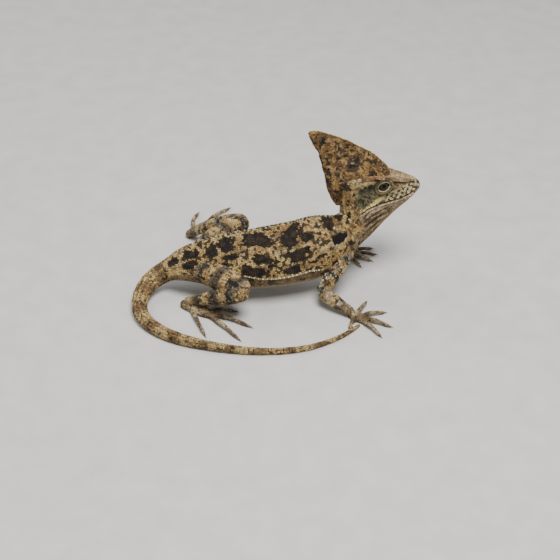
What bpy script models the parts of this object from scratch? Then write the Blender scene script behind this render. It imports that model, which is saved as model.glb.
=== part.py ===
"""Smooth helmeted lizard, a still life-size model: the animal stands on the floor with its head
raised and its tail curled round its right side. +X runs along the trunk towards the head, +Y is
the animal's left, +Z is up, and the floor is Z = 0. Sizes are in millimetres and become metres
where a mesh is made."""

import math

import bmesh
import bpy
import numpy as np
from mathutils import Matrix, Vector

MM = 0.001
GAP = 0.3
# The middle of the footprint, measured from the point that the body was laid out from.
ORIGIN = Vector((-2.45, 4.6, 0.0))

# Trunk and tail
TRUNK_SIDES = 24
TRUNK_STEPS = 2
BACK_PINCH = 0.42
BELLY_FULLNESS = 0.16
# Centre x, y, z, half width, height above the centre, depth below it, from the neck to the vent.
TRUNK = [
    (41.0, 0.9, 33.0, 4.2, 5.0, 6.0),
    (34.6, 0.4, 29.6, 6.5, 7.0, 11.0),
    (28.6, -2.3, 26.6, 7.3, 7.8, 12.6),
    (22.4, -5.4, 24.0, 7.9, 12.6, 13.8),
    (15.4, -7.3, 22.0, 9.0, 15.2, 15.4),
    (6.5, -8.2, 20.6, 9.8, 15.0, 15.6),
    (-5.0, -8.3, 19.5, 10.2, 14.6, 15.0),
    (-16.5, -7.4, 18.2, 9.8, 13.6, 13.8),
    (-27.0, -5.4, 16.7, 8.7, 11.8, 12.0),
    (-36.0, -2.6, 14.8, 7.4, 9.8, 9.4),
    (-43.5, 0.2, 12.4, 5.9, 7.2, 6.8),
]
# Centre x, y, radius and centre z of the tail, which lies on the floor once it has come down to it.
TAIL = [
    (-50.4, 1.9, 4.8, 9.2),
    (-57.6, -1.0, 4.2, 6.4),
    (-62.2, -7.4, 3.6, 4.3),
    (-63.6, -15.4, 3.3, 3.3),
    (-61.8, -23.6, 3.0, 3.0),
    (-56.2, -31.6, 2.7, 2.7),
    (-48.2, -38.1, 2.4, 2.4),
    (-38.6, -43.2, 2.05, 2.05),
    (-28.0, -47.4, 1.75, 1.75),
    (-15.6, -50.6, 1.5, 1.5),
    (-1.6, -51.6, 1.3, 1.3),
    (10.2, -49.2, 1.12, 1.12),
    (19.8, -44.8, 0.95, 0.95),
    (26.4, -40.0, 0.78, 0.78),
    (28.3, -38.2, 0.6, 0.62),
]
TAIL_PINCH = 0.1
# The tail lies on the floor where it is thinner than this; it is cut flat below this share of its radius.
TAIL_LYING = 3.4
TAIL_FLAT = 0.93
# Where the body is parted, in rows of the tables above.
NECK_CUT = 1.15
CHEST_CUT = 2.7
TAIL_CUTS = (0.0, 2.6, 4.8, 7.0, 9.2, 11.2)

# Head, laid out from the tip of the snout: along the mouth line, above it and to the side
SNOUT = Vector((61.6, 2.5, 44.0))
HEAD_PITCH = math.radians(21.0)
HEAD_YAW = math.radians(3.0)
HEAD_ROLL = math.radians(4.0)
HEAD_STEPS = 2
# Distance behind the snout, crown height, brow half width and height, cheek half width and height,
# lip half width and height, jaw half width and height, chin height, depth of the mouth's line.
HEAD = [
    (0.15, 1.2, 0.6, 1.1, 1.0, 0.3, 0.9, -0.7, 0.6, -1.3, -1.6, 0.1),
    (1.4, 3.1, 1.7, 3.1, 2.3, 1.4, 2.4, -0.8, 1.7, -2.0, -2.5, 0.3),
    (4.0, 4.9, 3.1, 5.2, 3.5, 2.3, 3.9, -0.8, 3.0, -2.8, -3.5, 0.4),
    (7.0, 6.9, 4.4, 7.8, 4.5, 3.6, 5.1, -0.6, 4.1, -3.4, -4.3, 0.45),
    (10.0, 8.9, 5.7, 10.3, 5.2, 5.4, 5.9, -0.1, 4.9, -3.9, -5.1, 0.45),
    (13.5, 11.4, 6.7, 12.8, 5.9, 7.8, 6.5, 0.7, 5.6, -4.4, -6.6, 0.45),
    (17.5, 13.6, 6.9, 14.8, 6.3, 8.6, 7.0, 1.8, 6.1, -5.2, -8.8, 0.45),
    (21.5, 15.2, 6.4, 16.1, 6.7, 8.6, 7.4, 2.4, 6.5, -6.4, -10.6, 0.45),
    (25.5, 16.4, 5.8, 17.1, 6.8, 8.4, 7.6, 2.4, 6.7, -8.0, -12.8, 0.4),
    (29.0, 16.6, 5.1, 17.4, 6.6, 7.4, 7.4, 1.2, 6.4, -9.6, -14.7, 0.1),
    (32.0, 12.6, 4.0, 13.2, 6.1, 5.4, 6.8, -0.8, 6.0, -10.7, -15.8, 0.0),
    (34.8, 5.0, 3.0, 5.4, 5.4, 2.4, 6.0, -3.6, 5.2, -11.2, -15.6, 0.0),
    (37.5, -0.6, 2.2, -0.4, 4.0, -2.4, 4.4, -6.0, 3.8, -10.6, -13.6, 0.0),
]
LIP_LOW, LIP_SHARE = 0.12, 0.75
# Distance behind the snout and along which heights the two ends of the head are closed
SNOUT_END = (-0.25, -0.1)
NAPE_END = (37.7, -7.0)
EYE_BACK, EYE_UP, EYE_SIDE, EYE_RADIUS = 15.2, 8.8, 3.75, 3.2
LID_RADIUS, LID_THICK, LID_SIDE, LID_CORNER = 3.0, 0.8, 5.75, 0.14
LID_STEPS, LID_SIDES = 20, 6
NOSTRIL_BACK, NOSTRIL_UP, NOSTRIL_SIDE, NOSTRIL_RADIUS, NOSTRIL_DEPTH = 2.9, 3.0, 2.9, 0.5, 0.8
EAR_BACK, EAR_UP, EAR_SIDE, EAR_RADIUS, EAR_DEPTH = 26.8, 6.8, 6.9, 1.6, 0.45

# Casque: levels rise from the brow line, which climbs backwards by BROW_RISE
BROW_RISE = 0.31
BROW_START = 14.5
CASQUE_SIDES = 10
# Level, where the front edge is, where the rear edge is, greatest half thickness
CASQUE = [
    (-0.8, 34.0, 37.2, 0.7),
    (1.5, 31.5, 37.8, 1.5),
    (5.0, 25.0, 37.8, 2.4),
    (9.0, 12.5, 37.8, 4.8),
    (12.0, 9.35, 37.2, 5.6),
    (14.2, 9.75, 36.7, 4.8),
    (16.4, 10.35, 36.4, 3.7),
    (19.1, 11.45, 36.1, 2.6),
    (21.8, 12.85, 35.8, 2.0),
    (24.2, 14.5, 35.4, 1.65),
    (27.4, 17.6, 35.1, 1.35),
    (30.8, 20.7, 35.5, 1.15),
    (33.5, 24.0, 35.8, 1.0),
    (35.7, 27.3, 36.0, 0.85),
    (37.6, 30.3, 35.8, 0.7),
    (38.4, 32.8, 35.2, 0.45),
]
CASQUE_EDGE = 0.32
# How full the section is towards the front, and how bluntly it swells from its edges.
CASQUE_LEAN, CASQUE_FULL = 0.8, 0.55

# Serrated crests of the back and the throat: pitch, height, length along the body, thickness
CREST_PITCH, CREST_HEIGHT, CREST_LENGTH, CREST_THICK = 2.1, 1.25, 1.7, 0.88
# Share of its height that the crest of the back has lost at the root of the tail.
CREST_FADE = 0.45
# How far the root of each pointed scale reaches down into the body.
CREST_ROOT = 1.0
THROAT_TEETH, THROAT_START = 8, 11.0
THROAT_PITCH, THROAT_HEIGHT, THROAT_LENGTH, THROAT_THICK = 2.2, 0.9, 1.7, 0.8

# Legs: x, y, z and radius along each length; x, y, z and half width of a palm or sole;
# x and y of the root, middle and end of each digit
LIMB_SIDES = 12
LIMB_STEPS = 2
# How far a palm or sole would reach below its middle, in heights of it, were it not cut flat.
SOLE = 1.7
THIGH_RIGHT = [
    (-38.0, -3.0, 14.0, 4.4),
    (-33.8, -9.6, 15.2, 5.5),
    (-28.6, -16.2, 16.4, 5.5),
    (-23.6, -22.0, 16.6, 4.9),
    (-20.0, -25.8, 15.8, 4.2),
    (-18.4, -27.2, 15.2, 2.9),
]
SHANK_RIGHT = [
    (-18.9, -27.0, 15.6, 2.9),
    (-21.0, -26.4, 14.6, 4.0),
    (-26.6, -23.8, 11.8, 4.0),
    (-33.0, -20.0, 8.4, 3.2),
    (-38.8, -16.6, 5.3, 2.3),
    (-43.2, -13.9, 3.4, 1.9),
]
FOOT_RIGHT = [
    (-45.2, -12.6, 2.1, 1.2),
    (-43.8, -13.8, 2.0, 2.0),
    (-40.4, -16.6, 1.8, 2.4),
    (-36.6, -19.6, 1.6, 2.7),
    (-33.4, -22.0, 1.3, 2.3),
    (-32.2, -22.9, 1.1, 1.4),
]
TOES_RIGHT = [
    [(-37.6, -18.4), (-34.0, -15.6), (-30.6, -13.4)],
    [(-35.0, -20.4), (-28.8, -20.0), (-23.0, -20.7)],
    [(-34.4, -21.6), (-26.2, -26.0), (-18.2, -32.2)],
    [(-34.6, -22.0), (-29.2, -31.2), (-23.9, -40.2)],
    [(-41.6, -16.4), (-40.0, -25.6), (-37.8, -35.2)],
]
THIGH_LEFT = [
    (-37.6, -1.0, 15.0, 4.4),
    (-32.6, 4.0, 17.6, 5.5),
    (-26.0, 8.6, 20.0, 5.4),
    (-19.6, 12.6, 21.4, 4.8),
    (-14.8, 15.4, 21.4, 4.1),
    (-13.0, 16.4, 21.0, 2.9),
]
SHANK_LEFT = [
    (-13.4, 16.8, 21.2, 2.9),
    (-15.4, 18.4, 20.4, 4.0),
    (-20.4, 23.6, 17.0, 3.9),
    (-26.4, 29.6, 12.2, 3.1),
    (-31.6, 34.6, 7.4, 2.3),
    (-35.6, 38.4, 3.6, 1.9),
]
FOOT_LEFT = [
    (-37.2, 39.2, 2.1, 1.2),
    (-36.0, 40.2, 2.0, 2.0),
    (-32.8, 42.8, 1.8, 2.4),
    (-29.2, 45.6, 1.6, 2.7),
    (-26.0, 47.8, 1.3, 2.3),
    (-24.8, 48.6, 1.1, 1.4),
]
TOES_LEFT = [
    [(-30.2, 44.0), (-25.8, 41.6), (-22.0, 41.4)],
    [(-28.0, 46.4), (-20.6, 46.2), (-14.4, 46.6)],
    [(-27.6, 47.4), (-20.4, 50.2), (-12.8, 52.6)],
    [(-27.8, 48.0), (-21.8, 54.2), (-15.2, 60.0)],
    [(-33.8, 42.6), (-33.2, 51.0), (-30.0, 58.4)],
]
ARM_RIGHT = [
    (29.6, -3.6, 20.0, 3.8),
    (26.6, -9.4, 17.6, 4.2),
    (22.6, -14.6, 14.0, 3.6),
    (18.4, -18.4, 10.4, 3.2),
    (15.6, -20.8, 7.9, 3.0),
    (14.6, -21.6, 7.0, 2.0),
]
FOREARM_RIGHT = [
    (14.7, -20.9, 7.3, 2.0),
    (16.0, -22.2, 6.7, 3.0),
    (19.2, -25.6, 5.5, 2.9),
    (22.8, -29.0, 4.2, 2.3),
    (26.0, -31.8, 3.1, 1.9),
]
HAND_RIGHT = [
    (25.2, -31.0, 2.1, 1.2),
    (26.4, -32.2, 2.0, 2.0),
    (28.8, -34.2, 1.7, 2.5),
    (30.6, -35.6, 1.3, 2.0),
    (31.4, -36.2, 1.1, 1.2),
]
FINGERS_RIGHT = [
    [(27.8, -32.4), (31.0, -28.2), (34.4, -23.0)],
    [(28.8, -33.4), (35.0, -32.4), (40.6, -31.6)],
    [(29.0, -34.6), (35.4, -38.0), (41.0, -41.6)],
    [(28.8, -35.0), (32.4, -41.2), (35.4, -47.4)],
    [(27.8, -33.8), (25.4, -36.8), (23.6, -39.6)],
]
ARM_LEFT = [
    (28.4, -4.0, 20.4, 3.8),
    (25.8, 3.6, 18.4, 4.1),
    (21.6, 8.6, 15.4, 3.6),
    (17.6, 12.0, 12.4, 3.2),
    (15.0, 14.0, 10.4, 3.0),
    (14.0, 14.8, 9.6, 2.0),
]
FOREARM_LEFT = [
    (14.2, 14.4, 10.0, 2.0),
    (15.8, 14.6, 9.2, 3.0),
    (20.4, 14.8, 7.4, 2.8),
    (25.6, 14.6, 5.2, 2.2),
    (30.2, 14.0, 3.2, 1.9),
]
HAND_LEFT = [
    (29.2, 14.2, 2.1, 1.2),
    (30.6, 14.0, 2.0, 2.0),
    (33.4, 13.4, 1.7, 2.5),
    (35.8, 12.8, 1.3, 2.0),
    (36.8, 12.6, 1.1, 1.2),
]
FINGERS_LEFT = [
    [(32.4, 13.0), (35.0, 8.0), (37.2, 3.8)],
    [(33.6, 12.8), (38.6, 10.0), (42.8, 7.4)],
    [(34.0, 13.2), (40.0, 12.4), (45.8, 11.8)],
    [(33.8, 13.8), (39.4, 15.6), (45.0, 16.8)],
    [(32.0, 14.2), (33.4, 18.2), (35.4, 21.8)],
]
DIGIT_SIDES, DIGIT_STEPS = 7, 3
DIGIT_BASE, DIGIT_TIP, DIGIT_ARCH = 1.2, 0.68, 0.75
# How much a digit swells at its knuckles, and how many of them its length holds.
KNUCKLE, KNUCKLES = 0.16, 2.5
CLAW_SIDES = 5
CLAW_LENGTH, CLAW_RADIUS = 1.9, 0.42
CLAW_RINGS = (-0.25, 0.2, 0.6, 0.85)
# The claw's rise above the digit's end, its arch, its fall along its length and the height of its point
CLAW_RISE, CLAW_ARCH, CLAW_FALL, CLAW_POINT = 0.25, 0.25, 0.45, 0.12

# Principled BSDF: base colour, roughness
SKIN_BROWN = ((0.30, 0.20, 0.10), 0.62)
CASQUE_BROWN = ((0.36, 0.20, 0.09), 0.58)
EYE_DARK = ((0.05, 0.035, 0.02), 0.12)


def clear_scene():
    for obj in list(bpy.data.objects):
        bpy.data.objects.remove(obj, do_unlink=True)


def new_collection(name, shown):
    found = bpy.data.collections.new(name)
    bpy.context.scene.collection.children.link(found)
    found.hide_render = not shown
    return found


def material(name, look):
    colour, roughness = look
    made = bpy.data.materials.new(name)
    made.use_nodes = True
    shader = made.node_tree.nodes["Principled BSDF"]
    shader.inputs["Base Color"].default_value = (*colour, 1.0)
    shader.inputs["Roughness"].default_value = roughness
    shader.inputs["Metallic"].default_value = 0.0
    return made


def smooth_rows(rows, steps):
    """The rows with steps - 1 more between each two, on a Catmull-Rom curve through all of them."""
    table = np.array(rows, float)
    first, last = 2 * table[0] - table[1], 2 * table[-1] - table[-2]
    ends = np.vstack([first, table, last])
    found = []
    for i in range(len(table) - 1):
        before, start, end, after = ends[i : i + 4]
        for k in range(steps):
            t = k / steps
            bend = 2 * before - 5 * start + 4 * end - after
            turn = 3 * start - before - 3 * end + after
            found.append(0.5 * (2 * start + (end - before) * t + bend * t**2 + turn * t**3))
    return [tuple(row) for row in found] + [tuple(table[-1])]


def directions(centres):
    """Unit tangent at each centre."""
    points = [Vector(c) for c in centres]
    found = []
    for i in range(len(points)):
        ahead = points[min(i + 1, len(points) - 1)]
        behind = points[max(i - 1, 0)]
        found.append((ahead - behind).normalized())
    return found


def side_and_up(tangent):
    """The level direction across a path, and the one that rises squarely from the path."""
    side = Vector((0, 0, 1)).cross(tangent).normalized()
    return side, tangent.cross(side).normalized()


def loft(name, rings, ends=None):
    """A closed mesh object over rings of points in millimetres, with a middle point at each end."""
    mesh = bmesh.new()
    count = len(rings[0])
    rows = [[mesh.verts.new(Vector(p) * MM) for p in ring] for ring in rings]
    for here, there in zip(rows, rows[1:]):
        for i in range(count):
            j = (i + 1) % count
            mesh.faces.new((here[i], here[j], there[j], there[i]))
    for number, row in enumerate((rows[0], rows[-1])):
        middle = sum((v.co for v in row), Vector()) / count
        if ends:
            middle = Vector(ends[number]) * MM
        tip = mesh.verts.new(middle)
        for i in range(count):
            mesh.faces.new((row[i], row[(i + 1) % count], tip))
    bmesh.ops.recalc_face_normals(mesh, faces=mesh.faces)
    data = bpy.data.meshes.new(name)
    mesh.to_mesh(data)
    mesh.free()
    obj = bpy.data.objects.new(name, data)
    WORK.objects.link(obj)
    return obj


def copy_of(obj, grow=0.0):
    """A copy with its faces moved out along their normals by grow millimetres."""
    mesh = bmesh.new()
    mesh.from_mesh(obj.data)
    mesh.normal_update()
    moves = [v.normal.copy() for v in mesh.verts]
    for vertex, normal in zip(mesh.verts, moves):
        vertex.co += normal * grow * MM
    data = bpy.data.meshes.new(obj.name + "_copy")
    mesh.to_mesh(data)
    mesh.free()
    made = bpy.data.objects.new(obj.name + "_copy", data)
    WORK.objects.link(made)
    return made


def combine(obj, others, operation):
    """Joins the other closed meshes to obj, or cuts them from it, and removes them."""
    group = bpy.data.collections.new("group")
    bpy.context.scene.collection.children.link(group)
    for other in others:
        group.objects.link(other)
    step = obj.modifiers.new("combine", "BOOLEAN")
    step.operand_type = "COLLECTION"
    step.collection = group
    step.operation = operation
    step.solver = "EXACT"
    graph = bpy.context.evaluated_depsgraph_get()
    data = bpy.data.meshes.new_from_object(obj.evaluated_get(graph))
    obj.modifiers.clear()
    obj.data = data
    for other in others:
        bpy.data.objects.remove(other, do_unlink=True)
    bpy.data.collections.remove(group)
    return obj


def bodies_of(obj):
    """The separate closed surfaces of obj, each as a list of vertex numbers."""
    mesh = bmesh.new()
    mesh.from_mesh(obj.data)
    mesh.verts.ensure_lookup_table()
    left, found = set(range(len(mesh.verts))), []
    while left:
        reached, edge = set(), [left.pop()]
        while edge:
            number = edge.pop()
            reached.add(number)
            for link in mesh.verts[number].link_edges:
                other = link.other_vert(mesh.verts[number]).index
                if other in left:
                    left.discard(other)
                    edge.append(other)
        found.append(sorted(reached))
    mesh.free()
    return found


def centre_of(obj, group):
    total = Vector()
    for number in group:
        total += obj.data.vertices[number].co
    return total / len(group)


def keep_body(obj, kept):
    """Drops every vertex of obj that isn't among the kept ones."""
    mesh = bmesh.new()
    mesh.from_mesh(obj.data)
    kept = set(kept)
    gone = [v for v in mesh.verts if v.index not in kept]
    bmesh.ops.delete(mesh, geom=gone, context="VERTS")
    mesh.to_mesh(obj.data)
    mesh.free()


def keep_largest(obj):
    keep_body(obj, max(bodies_of(obj), key=len))
    return obj


def section(centre, side, up, width, rise, drop, sides, pinch=0.0, full=0.0):
    """A ring round centre: narrower towards the back by pinch, fuller low on the flank by full."""
    ring = []
    for i in range(sides):
        angle = 2 * math.pi * (i + 0.5) / sides
        across, high = math.cos(angle), math.sin(angle)
        if high > 0:
            across *= 1 - pinch * high * high
        else:
            across *= 1 + full * math.sin(math.pi * min(1.0, -high * 1.25))
        ring.append(centre + side * across * width + up * high * (rise if high > 0 else drop))
    return ring


def spine_rings():
    """Rings from the neck to the tip of the tail, and how far along each is, in table rows."""
    trunk = [row + (BACK_PINCH, BELLY_FULLNESS) for row in TRUNK]
    tail = [(x, y, z, r, r, r, TAIL_PINCH, 0.0) for x, y, r, z in TAIL]
    rows = smooth_rows(trunk + tail, TRUNK_STEPS)
    rings = []
    tangents = directions([row[:3] for row in rows])
    for (x, y, z, width, rise, drop, pinch, full), tangent in zip(rows, tangents):
        side, up = side_and_up(-tangent)
        ring = section(Vector((x, y, z)), side, up, width, rise, drop, TRUNK_SIDES, pinch, full)
        if drop < TAIL_LYING:
            floor = drop * (1 - TAIL_FLAT)
            ring = [Vector((p.x, p.y, max(p.z, floor) - floor)) for p in ring]
        rings.append(ring)
    return rows, rings


def head_axes():
    """Unit vectors of the head: backwards along the mouth, up, and to the animal's left."""
    turn = Matrix.Rotation(HEAD_YAW, 3, "Z") @ Matrix.Rotation(-HEAD_PITCH, 3, "Y")
    turn = turn @ Matrix.Rotation(-HEAD_ROLL, 3, "X")
    return turn @ Vector((-1, 0, 0)), turn @ Vector((0, 0, 1)), turn @ Vector((0, 1, 0))


def on_head(back, up, side=0.0):
    """A point of the head in the model's own axes."""
    backwards, upwards, leftwards = head_axes()
    return SNOUT + backwards * back + upwards * up + leftwards * side


def mix(a, b, share):
    return a + (b - a) * share


def head_ring(row):
    """One section of the head: crown, brow, orbit, cheek, lips with the mouth's line, jaw and chin."""
    back, crown, w_brow, h_brow, w_cheek, h_cheek, w_lip, h_lip, w_jaw, h_jaw, chin, line = row
    lip = LIP_LOW + LIP_SHARE * line
    half = [
        (w_brow * 0.5, mix(crown, h_brow, 0.4)),
        (w_brow * 0.85, mix(crown, h_brow, 0.95)),
        (w_brow, mix(h_brow, h_cheek, 0.06)),
        (mix(w_brow, w_cheek, 0.7), mix(h_brow, h_cheek, 0.35)),
        (w_cheek, h_cheek),
        (mix(w_cheek, w_lip, 0.55), mix(h_cheek, h_lip + lip, 0.5)),
        (w_lip, mix(h_cheek, h_lip + lip, 0.8)),
        (w_lip, h_lip + lip),
        (w_lip - line, h_lip),
        (w_lip * 0.985, h_lip - lip),
        (mix(w_lip, w_jaw, 0.35), mix(h_lip - lip, h_jaw, 0.5)),
        (w_jaw, h_jaw),
        (w_jaw * 0.76, mix(h_jaw, chin, 0.45)),
        (w_jaw * 0.4, mix(h_jaw, chin, 0.82)),
    ]
    left = [(0.0, crown)] + half + [(0.0, chin)]
    right = [(-w, h) for w, h in reversed(half)]
    return [on_head(back, h, w) for w, h in left + right]


def head_loft():
    rows = smooth_rows(HEAD, HEAD_STEPS)
    ends = (on_head(*SNOUT_END), on_head(*NAPE_END))
    return loft("head_loft", [head_ring(row) for row in rows], ends)


def facing_side(centre):
    """Places a shape whose own Z axis is to point to the animal's left, at centre in millimetres."""
    backwards, upwards, leftwards = head_axes()
    turn = Matrix((backwards, upwards, leftwards)).transposed()
    return Matrix.Translation(Vector(centre) * MM) @ turn.to_4x4()


def ball(name, centre, radius, segments=16, rings=10):
    mesh = bmesh.new()
    bmesh.ops.create_uvsphere(mesh, u_segments=segments, v_segments=rings, radius=radius * MM)
    data = bpy.data.meshes.new(name)
    mesh.to_mesh(data)
    mesh.free()
    obj = bpy.data.objects.new(name, data)
    obj.data.transform(facing_side(centre))
    WORK.objects.link(obj)
    return obj


def disc(name, centre, radius, depth, sides):
    """A short cylinder that lies flat against the side of the head."""
    mesh = bmesh.new()
    bmesh.ops.create_cone(
        mesh,
        cap_ends=True,
        segments=sides,
        radius1=radius * MM,
        radius2=radius * MM,
        depth=depth * MM,
    )
    data = bpy.data.meshes.new(name)
    mesh.to_mesh(data)
    mesh.free()
    obj = bpy.data.objects.new(name, data)
    obj.data.transform(facing_side(centre))
    WORK.objects.link(obj)
    return obj


def lid_ring(name, hand):
    """The swollen lids: a ring round the eye, drawn out to a corner before and behind."""
    rings = []
    for i in range(LID_STEPS):
        turn = 2 * math.pi * i / LID_STEPS
        reach = LID_RADIUS * (1 + LID_CORNER * math.cos(turn) ** 4)
        out = Vector((math.cos(turn), math.sin(turn)))
        ring = []
        for k in range(LID_SIDES):
            roll = 2 * math.pi * k / LID_SIDES
            far = reach + LID_THICK * math.cos(roll)
            side = LID_SIDE + LID_THICK * math.sin(roll)
            ring.append(on_head(EYE_BACK + out.x * far, EYE_UP + out.y * far, hand * side))
        rings.append(ring)
    mesh = bmesh.new()
    rows = [[mesh.verts.new(p * MM) for p in ring] for ring in rings]
    for i, row in enumerate(rows):
        after = rows[(i + 1) % len(rows)]
        for k in range(LID_SIDES):
            next_k = (k + 1) % LID_SIDES
            mesh.faces.new((row[k], row[next_k], after[next_k], after[k]))
    bmesh.ops.recalc_face_normals(mesh, faces=mesh.faces)
    data = bpy.data.meshes.new(name)
    mesh.to_mesh(data)
    mesh.free()
    obj = bpy.data.objects.new(name, data)
    WORK.objects.link(obj)
    return obj


def tooth(base, up, along, side, height, length, thick):
    """One pointed scale of a crest, leaning backwards, with its root sunk in."""
    corners = ((-0.5, -0.5), (0.5, -0.5), (0.5, 0.5), (-0.5, 0.5))
    square = [along * length * s + side * thick * t for s, t in corners]
    foot = base - up * CREST_ROOT
    middle = base + up * height * 0.45 + along * length * 0.1
    top = base + up * height + along * length * 0.35
    return loft("tooth", [[foot + p for p in square], [middle + p * 0.72 for p in square]], (foot, top))


def crest_teeth(rows):
    """The serrated crest along the middle of the back, from the nape to the root of the tail."""
    centres = [Vector(row[:3]) for row in rows]
    tangents = directions(centres)
    tops = []
    for row, centre, tangent in zip(rows, centres, tangents):
        side, up = side_and_up(-tangent)
        tops.append((centre + up * row[4], up, tangent, side))
    first, last = 2 * TRUNK_STEPS, (len(TRUNK) + 1) * TRUNK_STEPS
    teeth, run, wanted = [], 0.0, 0.0
    for i in range(first, last):
        here, there = tops[i][0], tops[i + 1][0]
        step = (there - here).length
        while wanted <= run + step:
            share = (wanted - run) / step
            point = here.lerp(there, share)
            up, along, side = tops[i][1], tops[i][2], tops[i][3]
            height = CREST_HEIGHT * (1.0 - CREST_FADE * (i - first) / (last - first))
            teeth.append(tooth(point, up, along, side, height, CREST_LENGTH, CREST_THICK))
            wanted += CREST_PITCH
        run += step
    return teeth


def throat_teeth():
    """Pointed scales along the middle of the throat."""
    backwards, upwards, leftwards = head_axes()
    rows = smooth_rows(HEAD, HEAD_STEPS)
    backs = [row[0] for row in rows]
    chins = [row[10] for row in rows]
    teeth = []
    for i in range(THROAT_TEETH):
        back = THROAT_START + THROAT_PITCH * i
        base = on_head(back, float(np.interp(back, backs, chins)) + 0.1)
        sizes = (THROAT_HEIGHT, THROAT_LENGTH, THROAT_THICK)
        teeth.append(tooth(base, -upwards, backwards, leftwards, *sizes))
    return teeth


def casque_loft():
    """The helmet: a tall thin blade over the brows, swept back to a point above the nape."""
    rings = []
    for level, front, rear, thick in CASQUE:
        ring = []
        for hand in (1, -1):
            shares = [k / CASQUE_SIDES for k in range(CASQUE_SIDES + 1)]
            if hand < 0:
                shares = shares[::-1][1:-1]
            for share in shares:
                back = mix(front, rear, share)
                half = 0.0
                if 0 < share < 1:
                    half = CASQUE_EDGE * math.sin(math.pi * (0.12 + 0.76 * share))
                    half += (thick - CASQUE_EDGE) * math.sin(math.pi * share**CASQUE_LEAN) ** CASQUE_FULL
                high = level + BROW_RISE * (back - BROW_START)
                ring.append(on_head(back, high, hand * half))
        rings.append(ring)
    ends = []
    for (level, front, rear, _), beyond in ((CASQUE[0], -0.3), (CASQUE[-1], 0.25)):
        back = mix(front, rear, 0.5)
        ends.append(on_head(back, level + beyond + BROW_RISE * (back - BROW_START)))
    return loft("casque", rings, ends)


def limb(name, rows):
    """A leg's length as rings round its line."""
    rows = smooth_rows(rows, LIMB_STEPS)
    tangents = directions([row[:3] for row in rows])
    rings = []
    for (x, y, z, radius), tangent in zip(rows, tangents):
        side, up = side_and_up(tangent)
        rings.append(section(Vector((x, y, z)), side, up, radius, radius, radius, LIMB_SIDES))
    return loft(name, rings)


def pad(name, rows):
    """A palm or sole: wider than it is thick, flat on the floor."""
    rows = smooth_rows(rows, LIMB_STEPS)
    tangents = directions([row[:3] for row in rows])
    rings = []
    for (x, y, z, width), tangent in zip(rows, tangents):
        side, up = side_and_up(tangent)
        rise = min(width, z * 0.95)
        ring = section(Vector((x, y, z)), side, up, width, rise, z * SOLE, LIMB_SIDES)
        rings.append([Vector((p.x, p.y, max(p.z, 0.0))) for p in ring])
    return loft(name, rings)


def claw(name, root, tangent):
    """A claw curved down to the floor from the end of a digit."""
    flat = Vector((tangent.x, tangent.y, 0)).normalized()
    rings = []
    side = Vector((0, 0, 1)).cross(flat)
    for share in CLAW_RINGS:
        centre = Vector(root) + flat * CLAW_LENGTH * share
        along = max(share, 0.0)
        centre.z = root[2] + CLAW_RISE + CLAW_ARCH * math.sin(math.pi * along) - CLAW_FALL * share
        radius = CLAW_RADIUS * (1 - 0.55 * along)
        rings.append(section(centre, side, Vector((0, 0, 1)), radius * 0.75, radius, radius, CLAW_SIDES))
    start = Vector(root) + flat * CLAW_LENGTH * CLAW_RINGS[0]
    start.z = root[2] + CLAW_RISE
    tip = Vector(root) + flat * CLAW_LENGTH
    tip.z = CLAW_POINT
    return loft(name, rings, (start, tip))


def digit(name, route):
    """A toe or finger with knuckles, arched a little and flat where it rests, and its claw."""
    points = [(x, y, DIGIT_BASE) for x, y in route]
    points[1] = (*route[1], DIGIT_BASE + DIGIT_ARCH)
    points[2] = (*route[2], DIGIT_TIP)
    rows = smooth_rows(points, DIGIT_STEPS)
    tangents = directions(rows)
    rings = []
    for number, (row, tangent) in enumerate(zip(rows, tangents)):
        share = number / (len(rows) - 1)
        side, up = side_and_up(tangent)
        swell = 1 + KNUCKLE * math.cos(2 * math.pi * share * KNUCKLES)
        radius = mix(DIGIT_BASE, DIGIT_TIP, share) * swell
        ring = section(Vector(row), side, up, radius, radius, radius, DIGIT_SIDES)
        rings.append([Vector((p.x, p.y, max(p.z, 0.0))) for p in ring])
    end = Vector(rows[-1]) + tangents[-1] * 0.5
    return [loft(name, rings, (Vector(rows[0]), end)), claw(name + "_claw", rows[-1], tangents[-1])]


def slot(name, centre, tangent, reach):
    """A thin square cutter across the body."""
    mesh = bmesh.new()
    bmesh.ops.create_cube(mesh, size=1.0)
    data = bpy.data.meshes.new(name)
    mesh.to_mesh(data)
    mesh.free()
    side, up = side_and_up(tangent)
    turn = Matrix((side, up, tangent)).transposed().to_4x4()
    size = Matrix.Diagonal((2 * reach * MM, 2 * reach * MM, GAP * MM, 1))
    data.transform(Matrix.Translation(Vector(centre) * MM) @ turn @ size)
    obj = bpy.data.objects.new(name, data)
    WORK.objects.link(obj)
    return obj


def spine_slots(rows):
    """Cutters that part the head, neck, torso and the lengths of the tail."""
    tangents = directions([row[:3] for row in rows])
    trunk_rows = len(TRUNK)
    places = [NECK_CUT, CHEST_CUT] + [trunk_rows + cut for cut in TAIL_CUTS]
    found = []
    for number, place in enumerate(places):
        index = place * TRUNK_STEPS
        low = int(index)
        share = index - low
        centre = Vector(rows[low][:3]).lerp(Vector(rows[low + 1][:3]), share)
        tangent = tangents[low].lerp(tangents[low + 1], share).normalized()
        reach = max(rows[low][3:6]) * 1.5 + 1.0
        found.append(slot(f"slot_{number}", centre, tangent, reach))
    return found


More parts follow.
